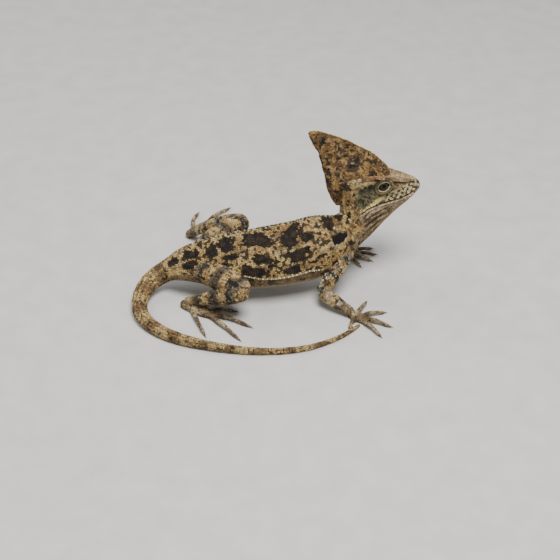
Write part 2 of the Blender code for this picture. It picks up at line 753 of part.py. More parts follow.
def part_spine(core, rows, names):
    """Cuts the whole body at the slots and gives each piece its own object."""
    combine(core, spine_slots(rows), "DIFFERENCE")
    pieces = []
    for group in sorted(bodies_of(core), key=len, reverse=True)[: len(names)]:
        pieces.append((group, centre_of(core, group)))
    line = [Vector(row[:3]) * MM for row in rows]

    def order(piece):
        return min(range(len(line)), key=lambda i: (line[i] - piece[1]).length)

    pieces.sort(key=order)
    made = {}
    for name, (group, _) in zip(names, pieces):
        data = core.data.copy()
        obj = bpy.data.objects.new(name, data)
        keep_body(obj, group)
        made[name] = obj
    bpy.data.objects.remove(core, do_unlink=True)
    return made


def whole_body():
    """The body from snout to tail as one closed mesh, with the openings of the head cut in."""
    rows, rings = spine_rings()
    core = loft("core", rings)
    lids = [lid_ring("lid", hand) for hand in (1, -1)]
    teeth = crest_teeth(rows) + throat_teeth()
    combine(core, [head_loft()] + lids + teeth, "UNION")
    keep_largest(core)
    plain = copy_of(core)
    cutters = []
    for hand in (1, -1):
        eye = on_head(EYE_BACK, EYE_UP, hand * EYE_SIDE)
        nostril = on_head(NOSTRIL_BACK, NOSTRIL_UP, hand * NOSTRIL_SIDE)
        ear = on_head(EAR_BACK, EAR_UP, hand * EAR_SIDE)
        cutters.append(ball("socket", eye, EYE_RADIUS + GAP))
        cutters.append(disc("nostril", nostril, NOSTRIL_RADIUS, 2 * NOSTRIL_DEPTH, 8))
        cutters.append(disc("ear", ear, EAR_RADIUS, 2 * EAR_DEPTH, 14))
    combine(core, cutters, "DIFFERENCE")
    keep_largest(core)
    return core, plain, rows


def leg_nodes(side, core, upper, lower, sole, digits, names):
    """One leg as three nodes, each cut back from what it grows from."""
    first, second, third = names
    top = limb(f"{first}_{side}", upper)
    combine(top, [copy_of(core, GAP)], "DIFFERENCE")
    keep_largest(top)
    middle = limb(f"{second}_{side}", lower)
    combine(middle, [copy_of(limb("whole", upper), GAP)], "DIFFERENCE")
    keep_largest(middle)
    end = pad(f"{third}_{side}", sole)
    fingers = []
    for number, route in enumerate(digits):
        fingers += digit(f"digit_{number}", route)
    combine(end, fingers, "UNION")
    combine(end, [copy_of(limb("whole", lower), GAP)], "DIFFERENCE")
    keep_largest(end)
    return [top, middle, end]


def finish(obj, shade):
    """Puts a node in the model's collection, at its place from the origin, and shades it."""
    for group in list(obj.users_collection):
        group.objects.unlink(obj)
    MODEL.objects.link(obj)
    obj.data.transform(Matrix.Translation(-ORIGIN * MM))
    obj.data.materials.clear()
    obj.data.materials.append(shade)
    obj.data.shade_smooth()
    obj.data.set_sharp_from_angle(angle=math.radians(50))


def build():
    skin = material("skin", SKIN_BROWN)
    horn = material("casque", CASQUE_BROWN)
    wet = material("eye", EYE_DARK)
    core, plain, rows = whole_body()
    nodes = []
    helmet = casque_loft()
    combine(helmet, [copy_of(plain, GAP)], "DIFFERENCE")
    keep_largest(helmet)
    nodes.append((helmet, horn))
    for side, hand in (("left", 1), ("right", -1)):
        eye = ball(f"eye_{side}", on_head(EYE_BACK, EYE_UP, hand * EYE_SIDE), EYE_RADIUS)
        nodes.append((eye, wet))
    legs = [
        ("right", THIGH_RIGHT, SHANK_RIGHT, FOOT_RIGHT, TOES_RIGHT, ("thigh", "shank", "foot")),
        ("left", THIGH_LEFT, SHANK_LEFT, FOOT_LEFT, TOES_LEFT, ("thigh", "shank", "foot")),
        ("right", ARM_RIGHT, FOREARM_RIGHT, HAND_RIGHT, FINGERS_RIGHT, ("upper_arm", "forearm", "hand")),
        ("left", ARM_LEFT, FOREARM_LEFT, HAND_LEFT, FINGERS_LEFT, ("upper_arm", "forearm", "hand")),
    ]
    for side, upper, lower, sole, digits, names in legs:
        for obj in leg_nodes(side, plain, upper, lower, sole, digits, names):
            nodes.append((obj, skin))
    names = ["head", "neck", "torso"] + [f"tail_{n + 1}" for n in range(len(TAIL_CUTS))]
    for obj in part_spine(core, rows, names).values():
        nodes.append((obj, skin))
    for obj, shade in nodes:
        finish(obj, shade)
    for obj in list(WORK.objects):
        bpy.data.objects.remove(obj, do_unlink=True)
    bpy.data.collections.remove(WORK)


clear_scene()
MODEL = new_collection("smooth_helmeted_lizard", True)
WORK = new_collection("cutters", False)
build()
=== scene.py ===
"""Looks of the smooth helmeted lizard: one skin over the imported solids, covered with scales that lie
along the body, with its crests, claws, lids and eyes. Sizes are in millimetres and become metres
where a mesh is made. Places are measured from the point under the chest that the body was laid out
from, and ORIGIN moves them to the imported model's axes."""

import itertools
import math

import bmesh
import bpy
import numpy as np
from mathutils import Matrix, Vector
from mathutils.bvhtree import BVHTree


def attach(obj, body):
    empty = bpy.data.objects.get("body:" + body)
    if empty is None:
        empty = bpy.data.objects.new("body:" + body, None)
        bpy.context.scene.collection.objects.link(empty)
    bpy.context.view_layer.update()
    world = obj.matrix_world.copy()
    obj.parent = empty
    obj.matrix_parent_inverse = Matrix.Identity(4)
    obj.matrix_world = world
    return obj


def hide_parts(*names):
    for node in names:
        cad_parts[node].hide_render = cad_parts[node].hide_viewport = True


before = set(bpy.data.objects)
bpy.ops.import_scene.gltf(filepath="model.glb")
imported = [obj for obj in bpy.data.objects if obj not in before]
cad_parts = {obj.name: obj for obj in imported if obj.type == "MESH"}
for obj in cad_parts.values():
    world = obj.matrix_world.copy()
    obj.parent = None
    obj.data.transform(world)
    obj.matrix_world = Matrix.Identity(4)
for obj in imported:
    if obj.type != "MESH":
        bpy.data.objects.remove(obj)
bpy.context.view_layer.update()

MM = 0.001
ORIGIN = np.array([-2.45, 4.6, 0.0])
DICE = np.random.default_rng(7)

# Points of a large mesh that are handled at once, to spare memory
CHUNK = 20000
# Large odd numbers that mix the three numbers of a cell into one that looks random
MIXERS = (73856093, 19349663, 83492791)
LAST_MIXER = 1274126177
# How far the grid of one cloud is shifted from that of the next
SEED_SHIFT = 31.7

# Middle line of the trunk from the neck to the vent, and of the tail on to its tip
TRUNK_LINE = [
    (41.0, 0.9, 33.0), (34.6, 0.4, 29.6), (28.6, -2.3, 26.6), (22.4, -5.4, 24.0),
    (15.4, -7.3, 22.0), (6.5, -8.2, 20.6), (-5.0, -8.3, 19.5), (-16.5, -7.4, 18.2),
    (-27.0, -5.4, 16.7), (-36.0, -2.6, 14.8), (-43.5, 0.2, 12.4),
]
TAIL_LINE = [
    (-50.4, 1.9, 9.2), (-57.6, -1.0, 6.4), (-62.2, -7.4, 4.3), (-63.6, -15.4, 3.3),
    (-61.8, -23.6, 3.0), (-56.2, -31.6, 2.7), (-48.2, -38.1, 2.4), (-38.6, -43.2, 2.05),
    (-28.0, -47.4, 1.75), (-15.6, -50.6, 1.5), (-1.6, -51.6, 1.3), (10.2, -49.2, 1.12),
    (19.8, -44.8, 0.95), (26.4, -40.0, 0.78), (28.2, -38.3, 0.64),
]
# Middle line of each leg, from the body to the wrist or ankle
LEG_LINES = {
    "hind_right": [(-38.0, -3.0, 14.0), (-28.6, -16.2, 16.4), (-20.4, -25.6, 15.8), (-19.4, -26.6, 15.2),
                   (-26.6, -23.8, 11.8), (-38.8, -16.6, 5.3), (-43.4, -13.8, 3.0)],
    "hind_left": [(-37.6, -1.0, 15.0), (-26.0, 8.6, 20.0), (-15.0, 15.6, 21.2), (-13.9, 17.0, 20.9),
                  (-20.4, 23.6, 17.0), (-31.6, 34.6, 7.4), (-35.9, 38.8, 3.0)],
    "fore_right": [(29.6, -3.6, 20.0), (22.6, -14.6, 14.0), (15.6, -20.6, 7.9), (15.4, -21.4, 7.0),
                   (19.2, -25.6, 5.5), (26.0, -31.8, 2.9)],
    "fore_left": [(28.4, -4.0, 20.4), (21.6, 8.6, 15.4), (15.0, 13.8, 10.6), (15.0, 14.5, 9.6),
                  (20.4, 14.8, 7.4), (30.2, 14.0, 2.9)],
}
# Root, middle and end of each toe and finger
DIGITS = {
    "foot_right": [
        [(-37.6, -18.4), (-34.0, -15.6), (-30.6, -13.4)],
        [(-35.0, -20.4), (-28.8, -20.0), (-23.0, -20.7)],
        [(-34.4, -21.6), (-26.2, -26.0), (-18.2, -32.2)],
        [(-34.6, -22.0), (-29.2, -31.2), (-23.9, -40.2)],
        [(-41.6, -16.4), (-40.0, -25.6), (-37.8, -35.2)],
    ],
    "foot_left": [
        [(-30.2, 44.0), (-25.8, 41.6), (-22.0, 41.4)],
        [(-28.0, 46.4), (-20.6, 46.2), (-14.4, 46.6)],
        [(-27.6, 47.4), (-20.4, 50.2), (-12.8, 52.6)],
        [(-27.8, 48.0), (-21.8, 54.2), (-15.2, 60.0)],
        [(-33.8, 42.6), (-33.2, 51.0), (-30.0, 58.4)],
    ],
    "hand_right": [
        [(27.8, -32.4), (31.0, -28.2), (34.4, -23.0)],
        [(28.8, -33.4), (35.0, -32.4), (40.6, -31.6)],
        [(29.0, -34.6), (35.4, -38.0), (41.0, -41.6)],
        [(28.8, -35.0), (32.4, -41.2), (35.4, -47.4)],
        [(27.8, -33.8), (25.4, -36.8), (23.6, -39.6)],
    ],
    "hand_left": [
        [(32.4, 13.0), (35.0, 8.0), (37.2, 3.8)],
        [(33.6, 12.8), (38.6, 10.0), (42.8, 7.4)],
        [(34.0, 13.2), (40.0, 12.4), (45.8, 11.8)],
        [(33.8, 13.8), (39.4, 15.6), (45.0, 16.8)],
        [(32.0, 14.2), (33.4, 18.2), (35.4, 21.8)],
    ],
}
DIGIT_BASE, DIGIT_TIP, DIGIT_ARCH = 1.2, 0.68, 0.75

# Head axes, and places on it as distance behind the snout and height above the line of the mouth
SNOUT = np.array([61.6, 2.5, 44.0])
HEAD_PITCH, HEAD_YAW, HEAD_ROLL = math.radians(21.0), math.radians(3.0), math.radians(4.0)
MOUTH = [(0.6, -0.75), (4.0, -0.8), (7.0, -0.6), (10.0, -0.1), (13.5, 0.7), (17.5, 1.8), (21.5, 2.4),
         (25.5, 2.4), (28.6, 1.3)]
EYE_BACK, EYE_UP, EYE_SIDE, EYE_RADIUS = 15.2, 8.8, 3.75, 3.2
EYE_WIDE, EYE_TALL = 1.1, 0.95
NOSTRIL_BACK, NOSTRIL_UP = 2.9, 3.0
EAR_BACK, EAR_UP, EAR_WIDE, EAR_TALL = 26.8, 6.8, 0.92, 1.15
# Ridge from the nostril over the eye to the back of the head
BROW = [(3.0, 4.4), (5.8, 5.9), (9.3, 8.7), (11.7, 10.8), (14.3, 12.9), (17.2, 14.6), (19.2, 15.3),
        (23.5, 16.4), (27.6, 17.4), (30.6, 17.9)]
# Front edge of the casque from its foot to its tip, and its rear edge from the tip down
CASQUE_FRONT = [(9.4, 8.3), (9.35, 10.4), (9.75, 12.7), (10.35, 15.1), (11.45, 18.1), (12.85, 21.3),
                (14.5, 24.2), (17.6, 28.4), (20.7, 32.7), (24.0, 36.4), (27.3, 39.7), (30.7, 43.0),
                (34.1, 44.7)]
CASQUE_REAR = [(33.6, 42.0), (33.2, 35.2), (33.8, 28.6), (34.4, 22.0), (35.6, 16.2), (35.6, 10.4)]
# Row of pale scales low on the flank: distance along the back, angle from the back's middle
FLANK_ROW = [(31.0, 120.0), (36.0, 111.0), (44.0, 112.0), (50.0, 111.5), (56.0, 107.5), (61.0, 99.0),
             (66.0, 92.0)]

# How far each solid is swollen so that the flesh runs together, and how deep the skin then lies
SWELL = 0.22
COAT_DEPTH = 0.1
VOXEL = 0.32
# Triangles of the skin, and how much of its closeness each part keeps, 1 being never thinned
SKIN_SIZE = 186000
KEEP_BODY, KEEP_DIGITS, KEEP_CASQUE, KEEP_HEAD, KEEP_FACE = 0.33, 0.55, 0.46, 0.52, 0.9

FLESH = [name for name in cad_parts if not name.startswith("eye_")]
TRUNK_NODES = ("neck", "torso")
TAIL_NODES = tuple(name for name in FLESH if name.startswith("tail"))
LEG_NODES = {
    "hind_right": ("thigh_right", "shank_right"), "hind_left": ("thigh_left", "shank_left"),
    "fore_right": ("upper_arm_right", "forearm_right"), "fore_left": ("upper_arm_left", "forearm_left"),
}


def unit(vectors):
    return vectors / np.maximum(np.linalg.norm(vectors, axis=-1, keepdims=True), 1e-9)


def smooth_line(knots, spacing):
    """Points about spacing apart on a smooth curve through the knots."""
    knots = np.array(knots, float)
    ends = np.vstack([2 * knots[0] - knots[1], knots, 2 * knots[-1] - knots[-2]])
    t = np.linspace(0, 1, 12, endpoint=False)[:, None]
    runs = []
    for a, b, c, d in zip(ends, ends[1:], ends[2:], ends[3:]):
        bend = (2 * a - 5 * b + 4 * c - d) * t**2 + (3 * b - a - 3 * c + d) * t**3
        runs.append(0.5 * (2 * b + (c - a) * t + bend))
    fine = np.vstack(runs + [knots[-1:]])
    steps = np.linalg.norm(np.diff(fine, axis=0), axis=1)
    length = np.concatenate([[0.0], np.cumsum(steps)])
    wanted = np.linspace(0, length[-1], max(2, round(length[-1] / spacing) + 1))
    return np.stack([np.interp(wanted, length, fine[:, k]) for k in range(fine.shape[1])], axis=1)


def soft(low, high, values):
    """0 below low, 1 above high and a smooth rise between; low may lie above high."""
    share = np.clip((values - low) / (high - low), 0.0, 1.0)
    return share * share * (3 - 2 * share)


def between(start, full, last, end, values):
    """0 before start and after end, 1 from full to last, and smooth rises between."""
    return soft(start, full, values) * soft(end, last, values)


def hill(off, width):
    """1 where off is 0, falling away smoothly to both sides in about a width."""
    return np.exp(-((off / width) ** 2))


def follow(knots, values):
    """The second numbers of the knots at the given first numbers."""
    return np.interp(values, *zip(*knots))


def cloud(points, size, seed):
    """Smooth random values from 0 to 1 that vary over about size millimetres."""
    grid = points / size + seed * SEED_SHIFT
    cell = np.floor(grid).astype(np.int64)
    part = grid - cell
    part = part * part * (3 - 2 * part)
    total = np.zeros(len(points))
    for corner in itertools.product((0, 1), repeat=3):
        keys = (cell + np.array(corner)) * MIXERS
        mixed = keys[:, 0] ^ keys[:, 1] ^ keys[:, 2]
        mixed = (mixed ^ (mixed >> 13)) * LAST_MIXER
        value = ((mixed >> 9) & 0xFFFF) / 0xFFFF
        total += value * np.prod(np.where(corner, part, 1 - part), axis=1)
    return total


class Line:
    """The middle line of a length of the body, with the directions along it, to the left and up."""

    def __init__(self, knots, spacing=0.5):
        self.points = smooth_line(knots, spacing) - ORIGIN
        self.along = unit(np.gradient(self.points, axis=0))
        self.side = unit(np.cross(self.along, [0.0, 0.0, 1.0]))
        self.up = unit(np.cross(self.side, self.along))
        steps = np.linalg.norm(np.diff(self.points, axis=0), axis=1)
        self.run = np.concatenate([[0.0], np.cumsum(steps)])

    def place(self, points):
        """How far along the line each point is, its angle from the top to the left, its distance."""
        near = np.zeros(len(points), int)
        for start in range(0, len(points), CHUNK):
            part = points[start : start + CHUNK]
            square = (self.points**2).sum(1)[None, :] - 2 * part @ self.points.T
            near[start : start + CHUNK] = square.argmin(axis=1)
        off = points - self.points[near]
        angle = np.degrees(np.arctan2((off * self.side[near]).sum(1), (off * self.up[near]).sum(1)))
        return self.run[near], angle, np.linalg.norm(off, axis=1)

    def lie(self, place):
        """The way along the line beside one place."""
        return self.along[((self.points - place) ** 2).sum(axis=1).argmin()]


def head_axes():
    """Unit vectors of the head: backwards along the mouth, up, and to the animal's left."""
    turn = Matrix.Rotation(HEAD_YAW, 3, "Z") @ Matrix.Rotation(-HEAD_PITCH, 3, "Y")
    turn = np.array(turn @ Matrix.Rotation(-HEAD_ROLL, 3, "X"))
    return turn @ [-1, 0, 0], turn @ [0, 0, 1], turn @ [0, 1, 0]


BACKWARDS, UPWARDS, LEFTWARDS = head_axes()
SPINE = Line(TRUNK_LINE + TAIL_LINE)
LEGS = {name: Line(knots) for name, knots in LEG_LINES.items()}
TRUNK_LENGTH = Line(TRUNK_LINE).run[-1]


def on_head(back, up, side):
    """Places on the head, in the model's own axes, from three numbers or arrays."""
    spread = np.multiply.outer
    return SNOUT - ORIGIN + spread(back, BACKWARDS) + spread(up, UPWARDS) + spread(side, LEFTWARDS)


def head_place(points):
    """Distance behind the snout, height above the mouth and distance to the left."""
    off = points - (SNOUT - ORIGIN)
    return off @ BACKWARDS, off @ UPWARDS, off @ LEFTWARDS


def eye_reach(back, up):
    """Distance from the middle of the eye, in the oval of its lids."""
    return np.hypot((back - EYE_BACK) / EYE_WIDE, (up - EYE_UP) / EYE_TALL)


def nostril_reach(back, up):
    return np.hypot(back - NOSTRIL_BACK, up - NOSTRIL_UP)


def ear_reach(back, up):
    """Distance from the middle of the ear, in the oval of its rim."""
    return np.hypot((back - EAR_BACK) / EAR_WIDE, (up - EAR_UP) / EAR_TALL)


def digit_line(route):
    """The middle line of one toe or finger."""
    heights = (DIGIT_BASE, DIGIT_BASE + DIGIT_ARCH, DIGIT_TIP)
    return Line([(x, y, z) for (x, y), z in zip(route, heights)], 0.35)


DIGIT_LINES = {node: [digit_line(route) for route in routes] for node, routes in DIGITS.items()}


# Skin

def mesh_arrays(data, length=MM):
    """Points and triangles of a mesh, the points counted in the given length."""
    data.calc_loop_triangles()
    points = np.empty(len(data.vertices) * 3)
    data.vertices.foreach_get("co", points)
    triangles = np.empty(len(data.loop_triangles) * 3, int)
    data.loop_triangles.foreach_get("vertices", triangles)
    return points.reshape(-1, 3) / length, triangles.reshape(-1, 3)


def as_mesh(mesh, name):
    """Ends a bmesh and gives its mesh."""
    data = bpy.data.meshes.new(name)
    mesh.to_mesh(data)
    mesh.free()
    return data


def rounded_mesh(mesh, name):
    """Ends a bmesh and gives its mesh, faces outwards and shaded smooth."""
    bmesh.ops.recalc_face_normals(mesh, faces=mesh.faces)
    for face in mesh.faces:
        face.smooth = True
    return as_mesh(mesh, name)


def new_object(name, data):
    obj = bpy.data.objects.new(name, data)
    bpy.context.scene.collection.objects.link(obj)
    return obj


def above_floor(points):
    """The points, with those below the floor lifted on to it."""
    return np.column_stack([points[:, :2], np.maximum(points[:, 2], 0.0)])


def merged_solid(name):
    mesh = bmesh.new()
    mesh.from_mesh(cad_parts[name].data)
    bmesh.ops.remove_doubles(mesh, verts=mesh.verts, dist=0.001 * MM)
    return mesh


def pull_in_claws(points, name):
    """Draws the claws of a foot back into the ends of its digits."""
    for line in DIGIT_LINES[name]:
        tip, ahead = line.points[-1], line.along[-1]
        off = points - tip
        beyond = off @ ahead
        aside = np.linalg.norm(off - np.outer(beyond, ahead), axis=1)
        claw = (beyond > -0.1) & (beyond < 3.0) & (aside < 1.4)
        level = np.where(claw, np.minimum(beyond, 0.15), beyond)
        points = points - np.outer(beyond - level, ahead)
    return points


def swollen_flesh():
    """All the flesh in one mesh, each solid swollen into its neighbours."""
    whole = bmesh.new()
    for name in FLESH:
        solid = merged_solid(name)
        solid.normal_update()
        moved = np.array([v.co for v in solid.verts]) / MM
        normals = np.array([v.normal for v in solid.verts])
        if name in DIGITS:
            moved = pull_in_claws(moved, name)
        moved = moved + normals * SWELL
        for vertex, point in zip(solid.verts, moved):
            vertex.co = point * MM
        part = as_mesh(solid, "part")
        whole.from_mesh(part)
        bpy.data.meshes.remove(part)
    return as_mesh(whole, "flesh")


def evaluated_copy(data, kind, settings, group=None):
    """The mesh that one modifier makes of this one."""
    obj = new_object("step", data)
    if group is not None:
        weights = obj.vertex_groups.new(name="keep")
        for level in np.unique(group):
            weights.add(np.nonzero(group == level)[0].tolist(), float(level), "REPLACE")
    step = obj.modifiers.new("step", kind)
    for name, value in settings.items():
        setattr(step, name, value)
    made = bpy.data.meshes.new_from_object(obj.evaluated_get(bpy.context.evaluated_depsgraph_get()))
    bpy.data.objects.remove(obj)
    return made


def owner_tree():
    """A search tree over the solids' own faces, and the name number of each face."""
    points, faces, owners, count = [], [], [], 0
    for number, name in enumerate(FLESH):
        data = as_mesh(merged_solid(name), "solid")
        these, triangles = mesh_arrays(data)
        bpy.data.meshes.remove(data)
        points.append(these)
        faces.append(triangles + count)
        owners += [number] * len(triangles)
        count += len(these)
    tree = BVHTree.FromPolygons(np.vstack(points).tolist(), np.vstack(faces).tolist())
    return tree, np.array(owners)


OWNER_TREE, OWNERS = owner_tree()


def owners_of(points):
    """The number in FLESH of the solid nearest to each point."""
    found = [OWNER_TREE.find_nearest(point)[2] for point in points.tolist()]
    return OWNERS[np.array(found)]


def node_mask(owner, *names):
    return np.isin(owner, [FLESH.index(name) for name in names])


def edges_of(data):
    pairs = np.empty(len(data.edges) * 2, int)
    data.edges.foreach_get("vertices", pairs)
    return pairs.reshape(-1, 2)


def relax(points, edges, weight, rounds, back=0.53):
    """Moves each point towards the middle of its neighbours, and back by as much and a little more."""
    degree = np.maximum(np.bincount(edges.ravel(), minlength=len(points)), 1)
    for _ in range(rounds):
        for share in (0.5, -back) if back else (0.5,):
            middle = np.empty_like(points)
            for k in range(3):
                pulls = np.bincount(edges[:, 0], points[edges[:, 1], k], len(points))
                pulls += np.bincount(edges[:, 1], points[edges[:, 0], k], len(points))
                middle[:, k] = pulls / degree
            points = points + (middle - points) * (share * weight)[:, None]
    return points


def point_normals(points, triangles):
    corners = points[triangles]
    faces = np.cross(corners[:, 1] - corners[:, 0], corners[:, 2] - corners[:, 0])
    normals = np.zeros_like(points)
    for k in range(3):
        for corner in range(3):
            normals[:, k] += np.bincount(triangles[:, corner], faces[:, k], len(points))
    return unit(normals)


def line_distance(back, up, knots):
    """Distance in the side view from a smooth line on the head, and the share of the line passed there."""
    line = smooth_line(knots, 0.4)
    best = np.full(len(back), np.inf)
    share = np.zeros(len(back))
    for number, (b, u) in enumerate(line):
        far = np.hypot(back - b, up - u)
        closer = far < best
        best[closer] = far[closer]
        share[closer] = number / (len(line) - 1)
    return best, share


# Folds of the throat and cheek: line in the side view, depth and half width
FOLDS = [
    ([(15.0, -1.6), (19.0, -1.3), (23.5, -1.6), (27.5, -2.6), (31.0, -4.4)], 0.42, 0.55),
    ([(17.5, -3.6), (21.5, -3.5), (26.0, -4.4), (30.0, -6.2), (32.5, -8.0)], 0.5, 0.6),
    ([(19.5, -6.0), (23.5, -6.2), (27.5, -7.6), (31.0, -9.6)], 0.4, 0.55),
    ([(22.5, -8.8), (26.0, -9.6), (29.5, -11.4)], 0.32, 0.5),
    ([(29.2, 3.6), (30.6, 1.6), (31.6, -1.2), (32.6, -4.4), (33.4, -8.2), (33.4, -12.0)], 1.15, 0.8),
    ([(25.0, 0.9), (27.4, -0.4), (29.2, -2.0)], 0.35, 0.45),
]


def head_relief(points):
    """How far the skin of the head stands out at each point: lips, folds, nostrils, ears and sockets."""
    back, up, side = head_place(points)
    flank, beside = soft(0.5, 2.0, np.abs(side)), soft(4.5, 5.5, np.abs(side))
    height = up - follow(MOUTH, back)
    lips = 0.24 * hill(height - 0.85, 0.5) + 0.2 * hill(height + 0.85, 0.5) - 0.45 * hill(height, 0.3)
    rise = lips * between(-0.2, 1.4, 27.8, 29.8, back) * flank
    for knots, depth, wide in FOLDS:
        far, share = line_distance(back, up, knots)
        ends = np.sin(math.pi * np.clip(share, 0.06, 0.94)) ** 0.6
        rise -= depth * (hill(far, wide) - 0.5 * hill(far - 1.7 * wide, wide)) * ends * flank
    above = up - follow(BROW, back)
    ridge = between(3.5, 6.0, 18.0, 24.0, back) * flank
    rise += (0.6 * hill(above, 0.6) - 0.5 * hill(above + 1.25, 0.6)) * ridge
    nostril = nostril_reach(back, up)
    rise += (0.16 * hill(nostril - 0.75, 0.28) - 0.5 * hill(nostril, 0.42)) * flank
    ear = ear_reach(back, up)
    rise += (0.12 * hill(ear - 1.6, 0.35) - 0.3 * soft(1.4, 1.0, ear)) * beside
    return rise - 1.5 * soft(3.4, 2.6, eye_reach(back, up)) * beside


def body_relief(points, owner):
    """How far the skin of the trunk stands out at each point: flank, back and the folds of the neck."""
    run, angle, _ = SPINE.place(points)
    turned = np.abs(angle)
    below = turned - follow(FLANK_ROW, run)
    rise = 0.3 * (hill(below, 2.6) - hill(below - 7.0, 4.0)) * between(31.0, 37.0, 58.0, 64.0, run)
    rise += 0.9 * hill(angle, 7.0) * between(10.0, 18.0, 84.0, 96.0, run)
    slant = run - 0.05 * (turned - 60.0)
    folds = 0.3 * hill(slant - 14.4, 1.2) - 0.55 * hill(slant - 16.6, 0.8) - 0.35 * hill(slant - 9.6, 0.7)
    rise += folds * between(20.0, 35.0, 120.0, 150.0, turned)
    return rise * node_mask(owner, *TRUNK_NODES)


def fine_parts(points):
    """The points round the mouth, eyes, nostrils and ears, where the skin needs a closer mesh."""
    back, up, side = head_place(points)
    close = np.abs(up - follow(MOUTH, back)) < 1.3
    close |= eye_reach(back, up) < 5.0
    close |= (np.abs(up - follow(BROW, back) + 0.5) < 1.6) & (back < 20.0)
    close |= nostril_reach(back, up) < 1.6
    close |= np.hypot(back - EAR_BACK, up - EAR_UP) < 2.8
    return close & (back > -1.0) & (back < 31.0) & (np.abs(side) > 0.5) & (np.abs(side) < 9.0)


def refine(data):
    """Splits the faces of the fine parts of the head in four."""
    mesh = bmesh.new()
    mesh.from_mesh(data)
    fine = fine_parts(np.array([v.co for v in mesh.verts]) / MM)
    edges = [e for e in mesh.edges if fine[e.verts[0].index] and fine[e.verts[1].index]]
    bmesh.ops.subdivide_edges(mesh, edges=edges, cuts=1, use_grid_fill=True)
    bmesh.ops.triangulate(mesh, faces=[f for f in mesh.faces if len(f.verts) > 4])
    mesh.to_mesh(data)
    mesh.free()


def thinned(data, points, count, owner):
    """The skin's mesh with fewer triangles. It is thinned at a thousand times its size, because the
    modifier can't tell such small lengths apart."""
    data.vertices.foreach_set("co", points.ravel())
    head = node_mask(owner, "head")
    keep = np.full(len(points), KEEP_BODY)
    keep[node_mask(owner, *DIGITS)] = KEEP_DIGITS
    keep[node_mask(owner, "casque")] = KEEP_CASQUE
    keep[head] = KEEP_HEAD
    keep[fine_parts(points) & head] = KEEP_FACE
    settings = {"ratio": SKIN_SIZE / count, "vertex_group": "keep", "invert_vertex_group": True}
    return evaluated_copy(data, "DECIMATE", settings, keep)


def build_skin():
    """The skin's mesh, its points, triangles and normals, and the solid that each point belongs to."""
    data = evaluated_copy(swollen_flesh(), "REMESH", {"mode": "VOXEL", "voxel_size": VOXEL * MM})
    refine(data)
    points, triangles = mesh_arrays(data)
    edges = edges_of(data)
    owner = owners_of(points)
    toes, horn, head = (node_mask(owner, *names) for names in (DIGITS, ("casque",), ("head",)))
    _, angle, _ = SPINE.place(points)
    _, up, side = head_place(points)
    points = relax(points, edges, np.where(toes, 0.5, np.where(horn, 0.75, 1.0)), 9)
    ridge = soft(14.0, 6.0, np.abs(angle)) * node_mask(owner, *TRUNK_NODES)
    ridge = np.maximum(ridge, soft(2.4, 1.0, np.abs(side)) * (up < -2.0) * head)
    points = relax(points, edges, ridge * 0.9, 60, 0.0)
    points = relax(points, edges, ~(toes | horn | head) * 1.0, 14)
    rise = np.where(head, head_relief(points), 0.0) + body_relief(points, owner)
    points = points + point_normals(points, triangles) * (rise - SWELL - COAT_DEPTH)[:, None]
    points = above_floor(relax(points, edges, np.full(len(points), 0.6), 2))
    data = thinned(data, points, len(triangles), owner)
    points, triangles = mesh_arrays(data, 1.0)
    points = above_floor(points)
    data.vertices.foreach_set("co", (points * MM).ravel())
    return data, points, triangles, point_normals(points, triangles), owners_of(points)


SKIN_MESH, SKIN_POINTS, SKIN_FACES, SKIN_NORMALS, SKIN_OWNERS = build_skin()

# Markings

def shade(red, green, blue):
    """A colour given as it looks on a screen, from 0 to 255, as linear light."""
    values = np.array([red, green, blue]) / 255.0
    return np.where(values <= 0.04045, values / 12.92, ((values + 0.055) / 1.055) ** 2.4)


SAND = shade(184, 158, 104)
OCHRE = shade(150, 120, 74)
RUST = shade(142, 98, 62)
CREAM = shade(212, 194, 152)
WHITE = shade(226, 218, 196)
BLACK = shade(18, 16, 14)
SLATE = shade(52, 47, 41)
BROWN = shade(88, 66, 44)
BELLY = shade(128, 108, 78)
THROAT = shade(148, 128, 98)
JAW = shade(176, 156, 126)
OLIVE = shade(92, 88, 62)
GOLD = shade(222, 202, 128)
HORN_BROWN = shade(108, 83, 49)
HORN_LIGHT = shade(149, 118, 72)
STONE = shade(134, 128, 114)

# Dark patches of the flank: how far along the back, angle from its middle, half length, half angle
FLANK_PATCHES = [
    (55.0, 19.0, 4.9, 10.5), (51.6, 29.0, 2.5, 6.5), (58.8, 11.0, 2.4, 6.0), (41.0, 17.5, 4.0, 9.5),
    (42.0, 34.0, 2.9, 9.5), (35.0, 28.0, 2.3, 8.5), (38.5, 7.5, 2.2, 4.5), (40.8, 68.0, 3.7, 14.0),
    (37.0, 56.5, 2.6, 8.5), (44.0, 60.0, 1.7, 6.0), (55.4, 58.5, 3.1, 14.0), (51.6, 67.0, 1.6, 6.5),
    (58.5, 91.5, 4.2, 12.0), (61.5, 76.0, 1.9, 9.5), (43.5, 99.5, 3.3, 9.5), (66.0, 46.0, 3.1, 8.5),
    (68.0, 17.0, 3.1, 14.0), (74.0, 28.0, 2.5, 15.0), (22.3, 13.0, 2.9, 12.5), (48.8, 72.0, 1.1, 4.5),
    (51.0, 80.5, 1.2, 4.0), (30.5, 84.0, 2.0, 4.0), (33.5, 91.0, 1.5, 3.5), (26.0, 118.0, 1.3, 4.0),
    (70.5, 70.0, 3.0, 9.0), (76.5, 62.0, 2.4, 9.0), (83.0, 24.0, 3.6, 12.0), (84.0, 60.0, 3.4, 12.0),
    (91.0, 34.0, 3.0, 13.0), (52.5, 120.5, 2.8, 3.5), (38.0, 121.0, 2.4, 3.0), (61.0, 112.0, 2.6, 3.5),
]
NECK_PATCHES = [(16.0, 5.0, 2.0, 9.0), (14.0, 33.0, 1.3, 7.0), (18.2, 99.0, 1.0, 8.0), (11.5, 19.0, 1.2, 6.0)]
